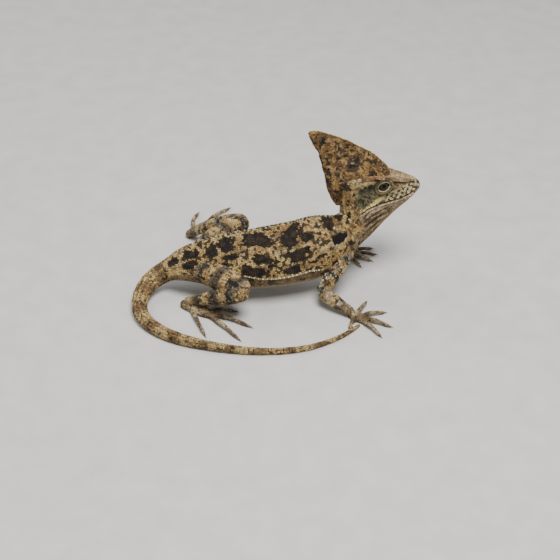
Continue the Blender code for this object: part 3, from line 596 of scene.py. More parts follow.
# The black patch before the shoulder
SHOULDER_PATCH = (21.8, 59.0, 2.9, 16.0)
# Dark spots of the head, in its side view: back, up, radius. The first is the browner one
HEAD_SPOTS = [
    (30.4, 15.6, 1.9), (28.4, 11.0, 0.75), (29.0, 14.0, 0.5), (31.6, 9.0, 0.8), (24.5, 11.6, 0.5),
    (33.0, 0.6, 0.9), (20.6, 11.6, 1.1), (22.6, 12.4, 0.8), (12.5, 8.8, 0.55), (30.0, 5.2, 0.6),
]
# Dark patches of the casque: back, up, half length, half height
CASQUE_PATCHES = [
    (22.9, 22.6, 3.1, 3.3), (26.4, 32.6, 1.3, 2.4), (30.7, 37.8, 1.2, 1.3), (14.4, 19.4, 1.6, 0.7),
    (17.8, 16.0, 1.5, 0.8), (34.2, 23.7, 1.2, 2.2), (31.1, 21.2, 1.0, 1.3), (31.2, 15.2, 2.0, 2.0),
    (35.9, 18.6, 0.9, 2.6), (35.1, 34.5, 0.8, 2.2), (30.7, 31.0, 0.8, 1.5), (17.1, 24.3, 0.5, 0.5),
    (12.5, 15.7, 0.5, 0.6), (13.3, 13.9, 0.5, 0.6), (35.4, 13.2, 1.2, 1.3), (34.6, 39.4, 0.6, 0.8),
    (28.4, 27.6, 0.7, 1.6), (25.2, 27.4, 0.6, 1.1), (19.4, 28.0, 0.5, 0.9), (35.2, 28.4, 0.6, 1.4),
]
# Streaks of the head: line in the side view, colour, strength, outer and inner reach, raggedness
HEAD_STREAKS = [
    ([(19.0, 13.5), (22.0, 13.9), (27.6, 15.3)], shade(178, 154, 104), 0.8, 1.2, 0.6, 0.8),
    ([(18.4, 10.6), (21.4, 10.9), (25.0, 11.8)], shade(46, 44, 36), 0.85, 1.5, 0.7, 1.2),
    ([(13.0, 3.9), (15.7, 3.9), (18.9, 4.1), (22.9, 3.5), (26.2, 2.2)], GOLD, 0.85, 1.2, 0.65, 0.6),
    ([(15.0, 2.5), (18.4, 2.9), (22.0, 2.5)], SLATE, 0.8, 0.6, 0.3, 0.0),
]


def blend(colour, other, mask):
    """Colours moved towards another by a mask from 0 to 1."""
    return colour + (other - colour) * np.clip(np.broadcast_to(mask, len(colour)), 0.0, 1.0)[:, None]


def mottle(colour, other, mask):
    """One colour turning into another by a mask from 0 to 1."""
    return blend(np.tile(colour, (len(mask), 1)), other, mask)


def patches_reach(along, across, patches):
    """How far from the nearest oval patch's middle each point is, as a share of the patch."""
    reach = np.full(len(along), 9.0)
    for a, c, long, wide in patches:
        reach = np.minimum(reach, np.hypot((along - a) / long, (across - c) / wide))
    return reach


def patchy(colour, reach, ragged):
    """Dark patches with ragged, scale by scale edges and a browner middle."""
    dark = soft(1.14, 0.98, reach + ragged)
    inner = soft(0.75, 0.4, reach + 0.6 * ragged)
    colour = blend(colour, BLACK, 0.96 * dark)
    return blend(colour, shade(60, 45, 33), 0.7 * inner), dark


def neck_colour(points, run, turned, middle, small):
    """The neck, browner than the trunk and with a few dark patches of its own."""
    colour = mottle(OCHRE, SAND, soft(0.3, 0.6, middle))
    colour = blend(colour, BROWN, 0.8 * soft(0.58, 0.7, cloud(points, 1.6, 12)))
    colour = blend(colour, BELLY, soft(80.0, 110.0, turned))
    colour, _ = patchy(colour, patches_reach(run, turned, NECK_PATCHES), 0.6 * (small - 0.5))
    return blend(colour, BLACK, 0.85 * soft(0.68, 0.73, cloud(points, 1.2, 13)))


def belly_colour(colour, points, run, turned):
    """The trunk's colours with the duller underside below the pale row of the flank."""
    below = turned - follow(FLANK_ROW, run)
    under = soft(0.0, 6.0, below)
    colour = blend(colour, BELLY, 0.9 * under)
    low = soft(0.58, 0.68, cloud(points, 2.1, 6)) * under * soft(155.0, 135.0, turned)
    colour = blend(colour, SLATE, 0.8 * low)
    colour = blend(colour, CREAM, 0.4 * soft(130.0, 165.0, turned))
    return blend(colour, CREAM, 0.9 * ((np.abs(below) < 1.9) & (run > 31.0) & (run < 62.0)))


def trunk_colour(points, run, angle):
    """The sandy trunk with its dark patches and specks, the black patch before the shoulder lying on top."""
    turned = np.abs(angle)
    broad, middle, small = cloud(points, 9.0, 1), cloud(points, 3.2, 2), cloud(points, 1.0, 3)
    colour = mottle(OCHRE, SAND, soft(0.35, 0.7, 0.55 * broad + 0.45 * middle))
    colour = blend(colour, BROWN, 0.6 * soft(0.56, 0.72, cloud(points, 3.6, 5)))
    saddle = soft(40.0, 24.0, turned) * between(28.5, 32.0, 42.0, 48.0, run)
    colour = blend(colour, RUST, 0.4 * saddle * soft(0.2, 0.55, middle))
    shifted = np.where(angle > 0, run + 2.5 * np.sin(run * 0.21), run)
    reach = patches_reach(shifted, turned, FLANK_PATCHES + NECK_PATCHES)
    colour, dark = patchy(colour, reach, 0.6 * (middle - 0.5) + 0.75 * (small - 0.5))
    light = soft(0.64, 0.72, cloud(points, 1.3, 9)) * (1 - dark)
    colour = blend(colour, CREAM, 0.35 * light * soft(115.0, 60.0, turned))
    specks = soft(0.58, 0.64, cloud(points, 1.1, 4)) * soft(0.2, 0.5, broad + 0.2)
    colour = blend(colour, BLACK, 0.88 * specks)
    colour = belly_colour(colour, points, run, turned)
    teeth = soft(0.1, 0.3, np.sin(run * 2 * math.pi / 2.4))
    edge = soft(2.6, 1.8, turned) * soft(96.0, 88.0, run)
    colour = blend(colour, mottle(SLATE, CREAM * 0.8, teeth), edge)
    colour = blend(colour, neck_colour(points, run, turned, middle, small), soft(21.0, 18.0, run))
    reach = patches_reach(run, turned, [SHOULDER_PATCH]) + 0.5 * (small - 0.5) + 0.7 * (middle - 0.5)
    colour = blend(colour, CREAM * 0.85, 0.7 * soft(1.6, 1.25, reach) * soft(50.0, 68.0, turned))
    return blend(colour, shade(12, 11, 11), soft(1.1, 0.98, reach))


def tail_colour(points, run, angle):
    """The tail in faint rings, streaked along its length."""
    middle, small = cloud(points, 2.6, 22), cloud(points, 0.9, 23)
    wave = np.sin((run - TRUNK_LENGTH) * 2 * math.pi / 12.5 + 2.4 * (cloud(points, 7.0, 21) - 0.5))
    colour = mottle(OCHRE, SAND, soft(0.1, 0.9, 0.5 + 0.2 * wave + 0.6 * (middle - 0.5)))
    colour = blend(colour, BROWN, 0.6 * soft(0.0, -0.9, wave + 1.0 * (middle - 0.5)))
    colour = blend(colour, SLATE, 0.8 * soft(0.6, 0.7, small) * soft(30.0, 80.0, np.abs(angle)))
    colour = blend(colour, BLACK, 0.75 * soft(0.68, 0.74, cloud(points, 1.0, 24)))
    base = soft(TRUNK_LENGTH + 14.0, TRUNK_LENGTH + 2.0, run) * soft(0.52, 0.6, cloud(points, 3.4, 25))
    colour = blend(colour, SLATE, 0.85 * base)
    streak = np.sin(np.radians(angle) * 10.0 + 2.5 * middle)
    colour = colour * (1.0 + 0.34 * streak)[:, None]
    colour = blend(colour, BELLY, 0.4 * soft(110.0, 150.0, np.abs(angle)))
    return colour * 0.9 * [1.0, 0.99, 1.04]


def digit_colour(points):
    small = cloud(points, 1.5, 42)
    colour = mottle(shade(136, 117, 88), shade(178, 158, 122), soft(0.35, 0.65, small))
    colour = blend(colour, BROWN, 0.75 * soft(0.56, 0.68, cloud(points, 2.6, 41)))
    return blend(colour, SLATE, 0.6 * soft(0.62, 0.7, cloud(points, 0.9, 43)))


def leg_colour(points, run, angle, greyness, end):
    """A banded leg, which takes on the colour of its hand or foot near its end."""
    middle, small = cloud(points, 2.4, 32), cloud(points, 0.95, 33)
    colour = mottle(OCHRE, SAND, soft(0.35, 0.7, middle))
    bands = np.sin(run * 2 * math.pi / 9.0 + 1.2 + 3.0 * (cloud(points, 5.0, 31) - 0.5))
    colour = blend(colour, BROWN, 0.85 * soft(-0.2, 0.4, bands + 0.9 * (middle - 0.5)))
    colour = blend(colour, SLATE, 0.85 * soft(0.45, 0.75, bands + 1.1 * (small - 0.5)))
    colour = blend(colour, STONE, 0.5 * greyness * soft(0.45, 0.6, cloud(points, 3.0, 35)))
    colour = blend(colour, WHITE, 0.45 * greyness * soft(0.66, 0.72, small))
    colour = blend(colour, BLACK, 0.85 * soft(0.62, 0.68, cloud(points, 1.1, 34)))
    colour = blend(colour, BELLY, 0.6 * soft(120.0, 160.0, np.abs(angle)))
    return blend(colour, digit_colour(points), 0.75 * soft(end - 8.0, end - 1.0, run))


def cheek_colour(back, up, middle, small):
    """The pale cheek, its olive patch behind the eye and the browner back of the head."""
    colour = mottle(shade(146, 124, 86), shade(180, 156, 112), soft(0.4, 0.7, middle))
    colour = blend(colour, SLATE, 0.7 * soft(0.6, 0.68, small))
    far = mottle(shade(148, 114, 72), SAND, soft(0.45, 0.7, middle))
    far = blend(far, BROWN, 0.7 * soft(0.58, 0.68, small))
    colour = blend(colour, far, soft(26.5, 29.0, back + 2.0 * (middle - 0.5)))
    green, _ = line_distance(back, up, [(18.0, 7.6), (21.4, 8.2), (24.5, 8.2), (26.4, 7.0)])
    colour = blend(colour, OLIVE, 0.9 * soft(4.0, 2.4, green + 1.5 * (middle - 0.5)))
    return blend(colour, SLATE, 0.75 * soft(0.55, 0.66, small) * soft(4.0, 2.4, green))


def lip_colour(points, back, height):
    """Pale blocks and dark gaps of the upper lip."""
    blocks = np.cos(2 * math.pi * (back - 0.9) / 2.6) * np.cos(math.pi * (height - 0.85) / 1.3)
    blocks += 1.8 * (cloud(points, 0.85, 55) - 0.5)
    return mottle(shade(42, 37, 30), shade(196, 178, 136), soft(-0.4, -0.1, blocks))


def jaw_colour(points, height, middle, small):
    """The pale lower lip and the duller, blotched throat."""
    colour = mottle(THROAT, JAW, soft(-4.4, -1.2, height + 1.2 * (middle - 0.5)))
    blotches = soft(0.5, 0.7, cloud(points, 2.3, 56)) * soft(-1.2, -3.5, height)
    colour = blend(colour, shade(104, 82, 58), 0.75 * blotches)
    colour = blend(colour, CREAM, 0.4 * soft(0.6, 0.72, small))
    return blend(colour, SLATE, 0.5 * soft(0.66, 0.72, cloud(points, 1.2, 57)))


def lid_colour(reach, small):
    """The lids in rings: a pale edge, and two dark lines in the beige, painted shade of groove and fold."""
    rings = soft(2.66, 2.46, reach) + 0.4 * hill(reach - 3.55, 0.25)
    colour = mottle(shade(112, 104, 72), shade(196, 180, 136), rings * (0.6 + 0.4 * small))
    # Painted shade in the lids' groove and at their outer fold
    lines = hill(reach - 2.8, 0.16) + 0.7 * hill(reach - 4.05, 0.22)
    return blend(colour, shade(44, 40, 30), 0.85 * lines)


def head_colour(points):
    """The head: crown, cheeks, streaks, lips, throat, ears, spots, folds, nostrils and lids in turn."""
    back, up, side = head_place(points)
    broad, middle, small = cloud(points, 5.0, 51), cloud(points, 2.0, 52), cloud(points, 0.8, 53)
    flank, beside = soft(0.5, 2.0, np.abs(side)), soft(4.0, 5.0, np.abs(side))
    height, above = up - follow(MOUTH, back), up - follow(BROW, back)
    colour = mottle(shade(134, 106, 75), shade(174, 144, 108), soft(0.3, 0.65, middle))
    colour = blend(colour, BROWN, 0.8 * soft(0.53, 0.64, small))
    colour = blend(colour, shade(150, 104, 66), 0.6 * soft(9.0, 13.0, back) * soft(0.35, 0.6, broad))
    colour = blend(colour, cheek_colour(back, up, middle, small), soft(0.4, -0.6, above))
    canthus = hill(above, 0.5) * between(4.0, 6.0, 13.0, 15.0, back)
    colour = blend(colour, shade(196, 170, 136), 0.75 * canthus)
    shadow = hill(above + 1.2, 0.5) * between(3.0, 5.0, 15.0, 20.0, back)
    colour = blend(colour, SLATE * 0.6, 0.9 * shadow)
    for knots, tone, strength, outer, inner, ragged in HEAD_STREAKS:
        reach, _ = line_distance(back, up, knots)
        colour = blend(colour, tone, strength * soft(outer, inner, reach + ragged * (small - 0.5)))
    lip = soft(18.5, 15.5, back) * between(-0.2, 0.3, 3.8, 5.2, height)
    colour = blend(colour, lip_colour(points, back, height), 0.88 * lip)
    lower = soft(0.1, -0.5, height) * soft(35.0, 31.0, back)
    colour = blend(colour, jaw_colour(points, height, middle, small), lower)
    # Painted shade in the slit of the mouth
    slit = hill(height, 0.26) * between(0.2, 1.0, 28.0, 29.4, back) * soft(0.8, 1.6, np.abs(side))
    colour = blend(colour, shade(34, 26, 20), 0.9 * slit)
    ear = ear_reach(back, up)
    colour = blend(colour, shade(84, 80, 58), 0.8 * soft(2.1, 1.5, ear) * beside)
    colour = blend(colour, shade(128, 122, 88), 0.9 * soft(1.35, 1.1, ear) * beside)
    for number, (b, u, radius) in enumerate(HEAD_SPOTS):
        reach = np.hypot(back - b, up - u) + 0.8 * (small - 0.5)
        spot = shade(46, 42, 36) if number == 0 else BLACK
        colour = blend(colour, spot, 0.92 * soft(radius * 1.15, radius * 0.85, reach))
    for knots, depth, wide in FOLDS:
        reach, share = line_distance(back, up, knots)
        # Painted shade along the crease of each fold, with pale scales on its edge
        dark = hill(reach, 0.8 * wide) * np.sin(math.pi * np.clip(share, 0.05, 0.95)) ** 0.5
        colour = blend(colour, shade(66, 50, 36), 0.9 * dark * flank)
        pale = hill(reach - 1.5 * wide, 0.45) * soft(0.7, 1.0, depth) * flank
        colour = blend(colour, CREAM, 0.6 * pale * (0.4 + 0.6 * (small > 0.5)))
    # Near black nostrils: painted shade in their hollows
    nostril = soft(0.6, 0.35, nostril_reach(back, up)) * soft(0.8, 1.5, np.abs(side))
    colour = blend(colour, shade(12, 9, 8), nostril)
    reach = eye_reach(back, up)
    return blend(colour, lid_colour(reach, small), soft(4.3, 3.8, reach) * beside)


def casque_colour(points):
    """The casque: slanting streaks, dark patches and flecks, and a pale front edge."""
    back, up, side = head_place(points)
    slant = np.stack([back - 0.55 * up, (up + 0.55 * back) * 0.28, side * 0.5], axis=1)
    streaks, middle, small = cloud(slant, 1.3, 61), cloud(points, 2.4, 62), cloud(points, 0.8, 63)
    colour = mottle(HORN_BROWN, HORN_LIGHT, soft(0.35, 0.7, middle))
    colour = blend(colour, BROWN, 0.7 * soft(0.56, 0.72, streaks))
    reach = patches_reach(back, up, CASQUE_PATCHES) + 0.4 * (middle - 0.5) + 0.5 * (small - 0.5)
    colour = blend(colour, shade(52, 46, 39), 0.85 * soft(1.12, 0.9, reach))
    colour = blend(colour, BLACK, 0.85 * soft(0.66, 0.7, cloud(points, 0.95, 64)))
    colour = blend(colour, shade(186, 150, 102), 0.5 * soft(0.68, 0.75, small))
    inside = back - follow([(u, b) for b, u in CASQUE_FRONT], up)
    return blend(colour, shade(206, 172, 120), 0.85 * soft(0.75, 0.35, inside) * soft(8.0, 10.0, up))


def markings(points, owner):
    """The colour of the animal at each point, for its skin and its scales alike."""
    colour = np.tile(OCHRE, (len(points), 1))
    trunk, tail, toes = (node_mask(owner, *names) for names in (TRUNK_NODES, TAIL_NODES, DIGITS))
    head, horn = node_mask(owner, "head"), node_mask(owner, "casque")
    run, angle, _ = SPINE.place(points)
    colour[trunk] = trunk_colour(points[trunk], run[trunk], angle[trunk])
    colour[tail] = tail_colour(points[tail], run[tail], angle[tail])
    colour[head] = head_colour(points[head])
    colour[horn] = casque_colour(points[horn])
    colour[toes] = digit_colour(points[toes])
    for name, nodes in LEG_NODES.items():
        here = node_mask(owner, *nodes)
        along, turned, _ = LEGS[name].place(points[here])
        greyness = 1.0 if name.startswith("fore") else 0.35
        colour[here] = leg_colour(points[here], along, turned, greyness, LEGS[name].run[-1])
    return np.clip(colour, 0.0, 1.0)


# Scales

SKIN_TREE = BVHTree.FromPolygons(SKIN_POINTS.tolist(), SKIN_FACES.tolist())
SKIN_NAMES = [FLESH[number] for number in SKIN_OWNERS]
# Size of a scale's patch in its unwrapped map, and the most scales that one piece may have
PATCH = 0.003
MOST_SCALES = 8600
# Side of the cells in which the places of scales are looked up, wider than any spacing
CELL = 1.2
# Staggered rows lie closer than the scales in a row, and a scale may be this near to its neighbour
ROW_SHARE, RING_SPACING, OPEN_SPACING = 0.86, 0.64, 0.8
RING_TURNS = 40
# Random places that are tried where the rows have left a gap
FILL_TRIES = 190000
CREST_NODES = ("neck", "torso", "head", "casque")


def template(kind):
    """One scale about 1 across, with its free end towards X: its points and its triangles."""
    mesh = bmesh.new()
    top = 0.05 if kind == "tooth" else 0.33
    bmesh.ops.create_cone(mesh, cap_ends=True, segments=6, radius1=0.5, radius2=top, depth=1.0)
    if kind != "tooth":
        bmesh.ops.poke(mesh, faces=[f for f in mesh.faces if f.calc_center_median().z > 0.4])
    for v in mesh.verts:
        middle = abs(v.co.y) < 0.01
        if kind == "tooth":
            v.co.x += 0.45 * (v.co.z + 0.5) ** 1.5
        elif v.co.z > 0.0:
            v.co.x += 0.1
            v.co.z += 0.45 * v.co.x + (0.5 if middle and kind == "keeled" else 0.0)
            v.co.z += 0.25 if abs(v.co.x - 0.1) < 0.05 and middle and kind == "plate" else 0.0
        elif v.co.x > 0.3:
            v.co.x *= 1.25
    bmesh.ops.triangulate(mesh, faces=mesh.faces)
    bmesh.ops.recalc_face_normals(mesh, faces=mesh.faces)
    data = as_mesh(mesh, kind)
    form = mesh_arrays(data, 1.0)
    bpy.data.meshes.remove(data)
    return form


TEMPLATES = {kind: template(kind) for kind in ("plate", "keeled", "tooth")}


class Coat:
    """Scales gathered piece by piece, none nearer to another than its spacing allows."""

    def __init__(self):
        self.cells = {}
        self.pieces = {}

    def take(self, point):
        self.cells.setdefault(tuple(int(c // CELL) for c in point), []).append(tuple(point))

    def free(self, point, spacing):
        """Whether a place is free. It is taken if so."""
        px, py, pz = point
        x, y, z = int(px // CELL), int(py // CELL), int(pz // CELL)
        for cell in itertools.product((x - 1, x, x + 1), (y - 1, y, y + 1), (z - 1, z, z + 1)):
            for ox, oy, oz in self.cells.get(cell, ()):
                if (ox - px) ** 2 + (oy - py) ** 2 + (oz - pz) ** 2 < spacing * spacing:
                    return False
        self.take(point)
        return True

    def add(self, piece, kind, point, normal, lie, size, tone=1.0):
        self.pieces.setdefault(piece, {}).setdefault(kind, []).append((*point, *normal, *lie, *size, tone))


COAT = Coat()


def skin_hit(origin, ray, reach):
    """Where a ray meets the skin: the place, the direction out of it and the solid's name."""
    place, _, face, _ = SKIN_TREE.ray_cast(origin, ray, reach)
    if place is None:
        return None
    corners = SKIN_FACES[face]
    return np.array(place), unit(SKIN_NORMALS[corners].sum(axis=0)), SKIN_NAMES[corners[0]]


def ring_scales(line, nodes, piece, kind, pitch, reach):
    """Staggered rows of scales round a length of the body, cast out from its middle line."""
    step = line.run[1] - line.run[0]
    turns = np.linspace(0, 2 * math.pi, RING_TURNS + 1)
    for row in range(int(line.run[-1] / (pitch * ROW_SHARE))):
        at = min(int(row * pitch * ROW_SHARE / step), len(line.points) - 1)
        centre, along, side, up = line.points[at], line.along[at], line.side[at], line.up[at]
        spots = []
        for turn in turns[:-1]:
            found = skin_hit(centre, side * math.sin(turn) + up * math.cos(turn), reach)
            spots.append(centre if found is None else found[0])
        loop = np.vstack([spots, spots[:1]])
        length = np.concatenate([[0.0], np.cumsum(np.linalg.norm(np.diff(loop, axis=0), axis=1))])
        local = min(pitch, length[-1] / 8)
        count = max(6, int(length[-1] / local))
        for number in range(count):
            share = (number + 0.5 * (row % 2) + DICE.uniform(-0.13, 0.13)) / count
            turn = np.interp(share * length[-1], length, turns)
            start = centre + along * DICE.uniform(-0.07, 0.07)
            found = skin_hit(start, side * math.sin(turn) + up * math.cos(turn), reach)
            if found is None or found[2] not in nodes:
                continue
            if COAT.free(found[0].tolist(), local * RING_SPACING):
                size = local * DICE.uniform(0.9, 1.1)
                COAT.add(piece, kind, found[0], found[1], along, (1.3 * size, 1.12 * size, 0.27 * local))


def bare_head(back, up, side):
    """Whether a place on the head has no ordinary scales: lids, nostril, ear and the slit of the mouth."""
    beside = abs(side)
    if beside > 4.0 and eye_reach(back, up) < 3.75:
        return True
    if beside > 1.2 and nostril_reach(back, up) < 0.62:
        return True
    if beside > 4.5 and ear_reach(back, up) < 1.25:
        return True
    return beside > 0.8 and back < 28.5 and abs(up - follow(MOUTH, back)) < 0.34


def add_head_scale(place, normal, node):
    """One scale of the head or casque, if its place is neither bare nor taken."""
    if node == "casque":
        size, kind, lie = 0.66, "keeled", BACKWARDS * 0.85 + UPWARDS * 0.5
    elif bare_head(*head_place(place)):
        return
    else:
        size, kind, lie = 0.6, "plate", BACKWARDS
    if COAT.free(place.tolist(), size * OPEN_SPACING):
        grow = size * DICE.uniform(0.88, 1.14)
        COAT.add("scales_" + node, kind, place, normal, lie, (1.25 * grow, 1.1 * grow, 0.25 * size))


def staggered(rows, columns, pitch):
    """Places of a pattern whose every second row is shifted by half a pitch."""
    for number, row in enumerate(np.arange(*rows, pitch * ROW_SHARE)):
        for column in np.arange(*columns, pitch) + (number % 2) * pitch * 0.5:
            yield row, column


def head_scales():
    """Staggered rows over the sides of the head and casque, then over its top and throat."""
    casts = []
    for up, back in staggered((-17.0, 47.0), (-1.0, 39.0), 0.63):
        casts += [(on_head(back, up, hand * 12.0), -hand * LEFTWARDS) for hand in (-1, 1)]
    for back, side in staggered((-0.6, 36.0), (-7.0, 7.1), 0.63):
        casts += [(on_head(back, hand * 48.0, side), -hand * UPWARDS) for hand in (-1, 1)]
    for origin, ray in casts:
        found = skin_hit(origin, ray, 60.0)
        if found is not None and found[2] in ("head", "casque") and abs(float(found[1] @ ray)) > 0.3:
            add_head_scale(*found)


# Larger plates of the upper and lower lip: height above the mouth, distance apart, height of a plate
LIP_ROWS = [(0.85, 1.3, 1.08), (-0.8, 1.25, 0.972)]


def lip_scales():
    for hand, (rise, pitch, tall) in itertools.product((-1, 1), LIP_ROWS):
        for back in np.arange(0.9, 27.5, pitch):
            up = float(follow(MOUTH, back)) + rise
            found = skin_hit(on_head(back, up, hand * 12.0), -hand * LEFTWARDS, 20.0)
            if found is not None and found[2] == "head" and COAT.free(found[0].tolist(), 0.7):
                COAT.add("scales_head", "plate", found[0], found[1], BACKWARDS, (1.42, tall, 0.22))


def piece_of(name, place):
    """The scale piece that a place on a solid belongs to, and the line that its scales lie along."""
    if name in DIGITS:
        line = min(DIGIT_LINES[name], key=lambda one: ((one.points - place) ** 2).sum(axis=1).min())
        return "scales_" + name, line
    for key, nodes in LEG_NODES.items():
        if name in nodes:
            return "scales_leg_" + key, LEGS[key]
    return ("scales_tail" if name in TAIL_NODES else "scales_trunk"), SPINE


def scattered(count):
    """Random places all over the skin, with the direction out of it and the solid's name."""
    corners = SKIN_POINTS[SKIN_FACES]
    area = np.linalg.norm(np.cross(corners[:, 1] - corners[:, 0], corners[:, 2] - corners[:, 0]), axis=1)
    chosen = np.searchsorted(np.cumsum(area) / area.sum(), DICE.random(count))
    share = DICE.dirichlet((1.0, 1.0, 1.0), count)
    places = (corners[chosen] * share[:, :, None]).sum(axis=1)
    normals = unit((SKIN_NORMALS[SKIN_FACES[chosen]] * share[:, :, None]).sum(axis=1))
    return zip(places, normals, (SKIN_NAMES[i] for i in SKIN_FACES[chosen, 0]))


def fill_scales():
    """Scales wherever the rows have left a gap."""
    for place, normal, name in scattered(FILL_TRIES):
        if name in ("head", "casque"):
            add_head_scale(place, normal, name)
            continue
        size = 0.46 if name in DIGITS or name == "tail_6" else 0.66
        if COAT.free(place.tolist(), size * OPEN_SPACING):
            piece, line = piece_of(name, place)
            shape = (1.44 * size, 1.28 * size, 0.27 * size)
            COAT.add(piece, "plate", place, normal, line.lie(place), shape)


def crest(piece, kind, places, ways, sizes, tones):
    """A row of scales cast on to the skin from outside their places, with sizes and tones in turn."""
    last = len(places) - 1
    for number, (place, away) in enumerate(zip(places, ways)):
        found = skin_hit(place + away * 5.0, -away, 12.0)
        if found is None or found[2] not in CREST_NODES:
            continue
        lie = unit(places[min(number + 1, last)] - places[max(number - 1, 0)])
        COAT.take(found[0].tolist())
        COAT.add(piece, kind, found[0], away, lie, sizes[number % len(sizes)], tones[number % len(tones)])


def on_spine(runs, angles, reach):
    """Places out from the spine line, and the directions from it, at given runs and angles."""
    points, sides, ups = (np.stack([np.interp(runs, SPINE.run, rows[:, k]) for k in range(3)], axis=1)
                          for rows in (SPINE.points, SPINE.side, SPINE.up))
    ways = unit(sides * np.sin(angles)[:, None] + ups * np.cos(angles)[:, None])
    return points + ways * reach, ways


def back_teeth(count):
    """Sizes along the crest of the back: tallest halfway, every second tooth small."""
    shares = np.sin(math.pi * np.arange(count) / (count - 1)).clip(0.0) ** 0.5
    return [(1.05, 0.6, (0.44, 0.26)[number % 2] * (1.0 + share)) for number, share in enumerate(shares)]


def lay_crests():
    """The toothed crest of the nape and back, the rows on the flanks and throat and the casque's rim."""
    runs = np.arange(9.6, 93.0, 1.0)
    crest("crest_back", "tooth", *on_spine(runs, runs * 0.0, 12.0), back_teeth(len(runs)), (1.05, 0.8))
    runs = np.arange(31.0, 62.0, 0.86)
    for hand in (-1, 1):
        row = on_spine(runs, hand * np.radians(follow(FLANK_ROW, runs)), 8.0)
        crest("scales_flank_row", "keeled", *row, [(0.95, 0.6, 0.5)], (1.15, 0.55))
    throat = smooth_line([on_head(b, -5.0, 0.0) for b in (8.0, 14.0, 20.0, 26.0, 31.0)], 1.1)
    crest("crest_throat", "tooth", throat, [-UPWARDS] * len(throat), [(1.0, 0.55, 0.8)], (1.15, 0.9))
    facing = unit(-0.75 * BACKWARDS + 0.66 * UPWARDS)
    for route, away in ((CASQUE_FRONT[1:], facing), (CASQUE_REAR, BACKWARDS)):
        inner = smooth_line([on_head(b, u, 0.0) - away * 1.5 for b, u in route], 0.46)
        crest("casque_rim", "plate", inner, [away] * len(inner), [(0.95, 0.62, 0.34)], (1.15, 1.0))


# Outline of the lids, from the opening outwards: distance from the eye's middle, distance to the side
LID_PROFILE = [(2.05, 5.6), (2.15, 6.35), (2.32, 6.62), (2.55, 6.66), (2.78, 6.48), (2.92, 6.3),
               (3.1, 6.42), (3.4, 6.5), (3.7, 6.35), (4.0, 6.0), (4.3, 5.4)]
LID_OPENING = LID_PROFILE[0][0]
LID_WIDE, LID_TALL = 1.12, 0.92
# Rings of grains on the lids: distance from the eye's middle, size of a grain
LID_RINGS = [(2.38, 0.34), (2.72, 0.42), (3.14, 0.5), (3.56, 0.54), (3.98, 0.6)]


def on_lid(reach, turn, side, hand):
    """A place on the lids from its distance and angle round the eye, drawn out to the corners of the eye."""
    corner = 0.3 * math.cos(turn) ** 8 * max(0.0, 1.0 - (reach - LID_OPENING) / 1.2)
    back = EYE_BACK + (reach + corner) * LID_WIDE * math.cos(turn)
    return on_head(back, EYE_UP + reach * LID_TALL * math.sin(turn), hand * side)


def lid_scales():
    """Rings of small grains on the lids."""
    for hand, (ring, (reach, size)) in itertools.product((-1, 1), enumerate(LID_RINGS)):
        here, there = (float(follow(LID_PROFILE, reach + shift)) for shift in (-0.08, 0.08))
        count = int(2 * math.pi * reach * 1.05 / (size * 1.02))
        for number in range(count):
            turn = (number + 0.5 * (ring % 2)) / count * 2 * math.pi
            out = BACKWARDS * math.cos(turn) + UPWARDS * math.sin(turn)
            normal = unit(hand * LEFTWARDS * 0.16 - out * (there - here))
            lie = UPWARDS * math.cos(turn) - BACKWARDS * math.sin(turn)
            place = on_lid(reach, turn, (here + there) / 2, hand)
            COAT.take(place.tolist())
            COAT.add("scales_lids", "plate", place, normal, lie, (1.1 * size, 1.1 * size, 0.3 * size))


def lay_scales():
    """Every scale of the animal, the special rows first."""
    lay_crests()
    lid_scales()
    lip_scales()
    ring_scales(Line(TRUNK_LINE + TAIL_LINE[:2], 0.2), TRUNK_NODES, "scales_trunk", "plate", 0.74, 24.0)
    ring_scales(Line(TRUNK_LINE[-3:] + TAIL_LINE, 0.2), TAIL_NODES, "scales_tail", "keeled", 0.72, 9.0)
    for key, knots in LEG_LINES.items():
        ring_scales(Line(knots, 0.2), LEG_NODES[key], "scales_leg_" + key, "keeled", 0.68, 9.0)
    for name, lines in DIGIT_LINES.items():
        for line in lines:
            ring_scales(line, (name,), "scales_" + name, "plate", 0.52, 2.6)
    head_scales()
    fill_scales()


def unwrap(piece, roots):
    """Each root's place on the skin laid out flat: along the body, and round it."""
    family, _, part = piece.split(".")[0].partition("_")
    if family == "casque" or piece == "crest_throat" or part in ("head", "casque", "lids"):
        back, up, side = head_place(roots)
        along, around = (back + 4.0) / 46.0, (up + 20.0) / 140.0 + 0.5 * (side > 0)
    elif part in DIGITS:
        lines = DIGIT_LINES[part]
        runs, angles, reaches = zip(*(line.place(roots) for line in lines))
        nearest = np.argmin(reaches, axis=0)
        along = np.choose(nearest, runs) / 24.0
        around = (nearest + np.choose(nearest, angles) / 360.0 + 0.5) / len(lines)
    else:
        line = LEGS.get(part.removeprefix("leg_"), SPINE)
        run, angle, _ = line.place(roots)
        along, around = run / line.run[-1], angle / 360.0 + 0.5
    return 0.01 + 0.98 * np.clip(np.stack([along, around], axis=1), 0.0, 1.0)


def shown_mesh(name, data, colours):
    """An object of a mesh, with its points' colours kept as an attribute."""
    layer = data.color_attributes.new("marking", "FLOAT_COLOR", "POINT")
    layer.data.foreach_set("color", np.column_stack([colours, np.ones(len(colours))]).ravel())
    return new_object(name, data)


def scale_mesh(name, points, triangles, patches):
    """A smooth shaded mesh from points in millimetres, with the map of its patches."""
    data = bpy.data.meshes.new(name)
    data.vertices.add(len(points))
    data.vertices.foreach_set("co", (points * MM).ravel())
    data.loops.add(triangles.size)
    data.loops.foreach_set("vertex_index", triangles.ravel())
    data.polygons.add(len(triangles))
    data.polygons.foreach_set("loop_start", np.arange(0, triangles.size, 3))
    data.polygons.foreach_set("use_smooth", np.ones(len(triangles), bool))
    data.update(calc_edges=True)
    data.uv_layers.new(name="OFBake").data.foreach_set("uv", patches.ravel())
    return data


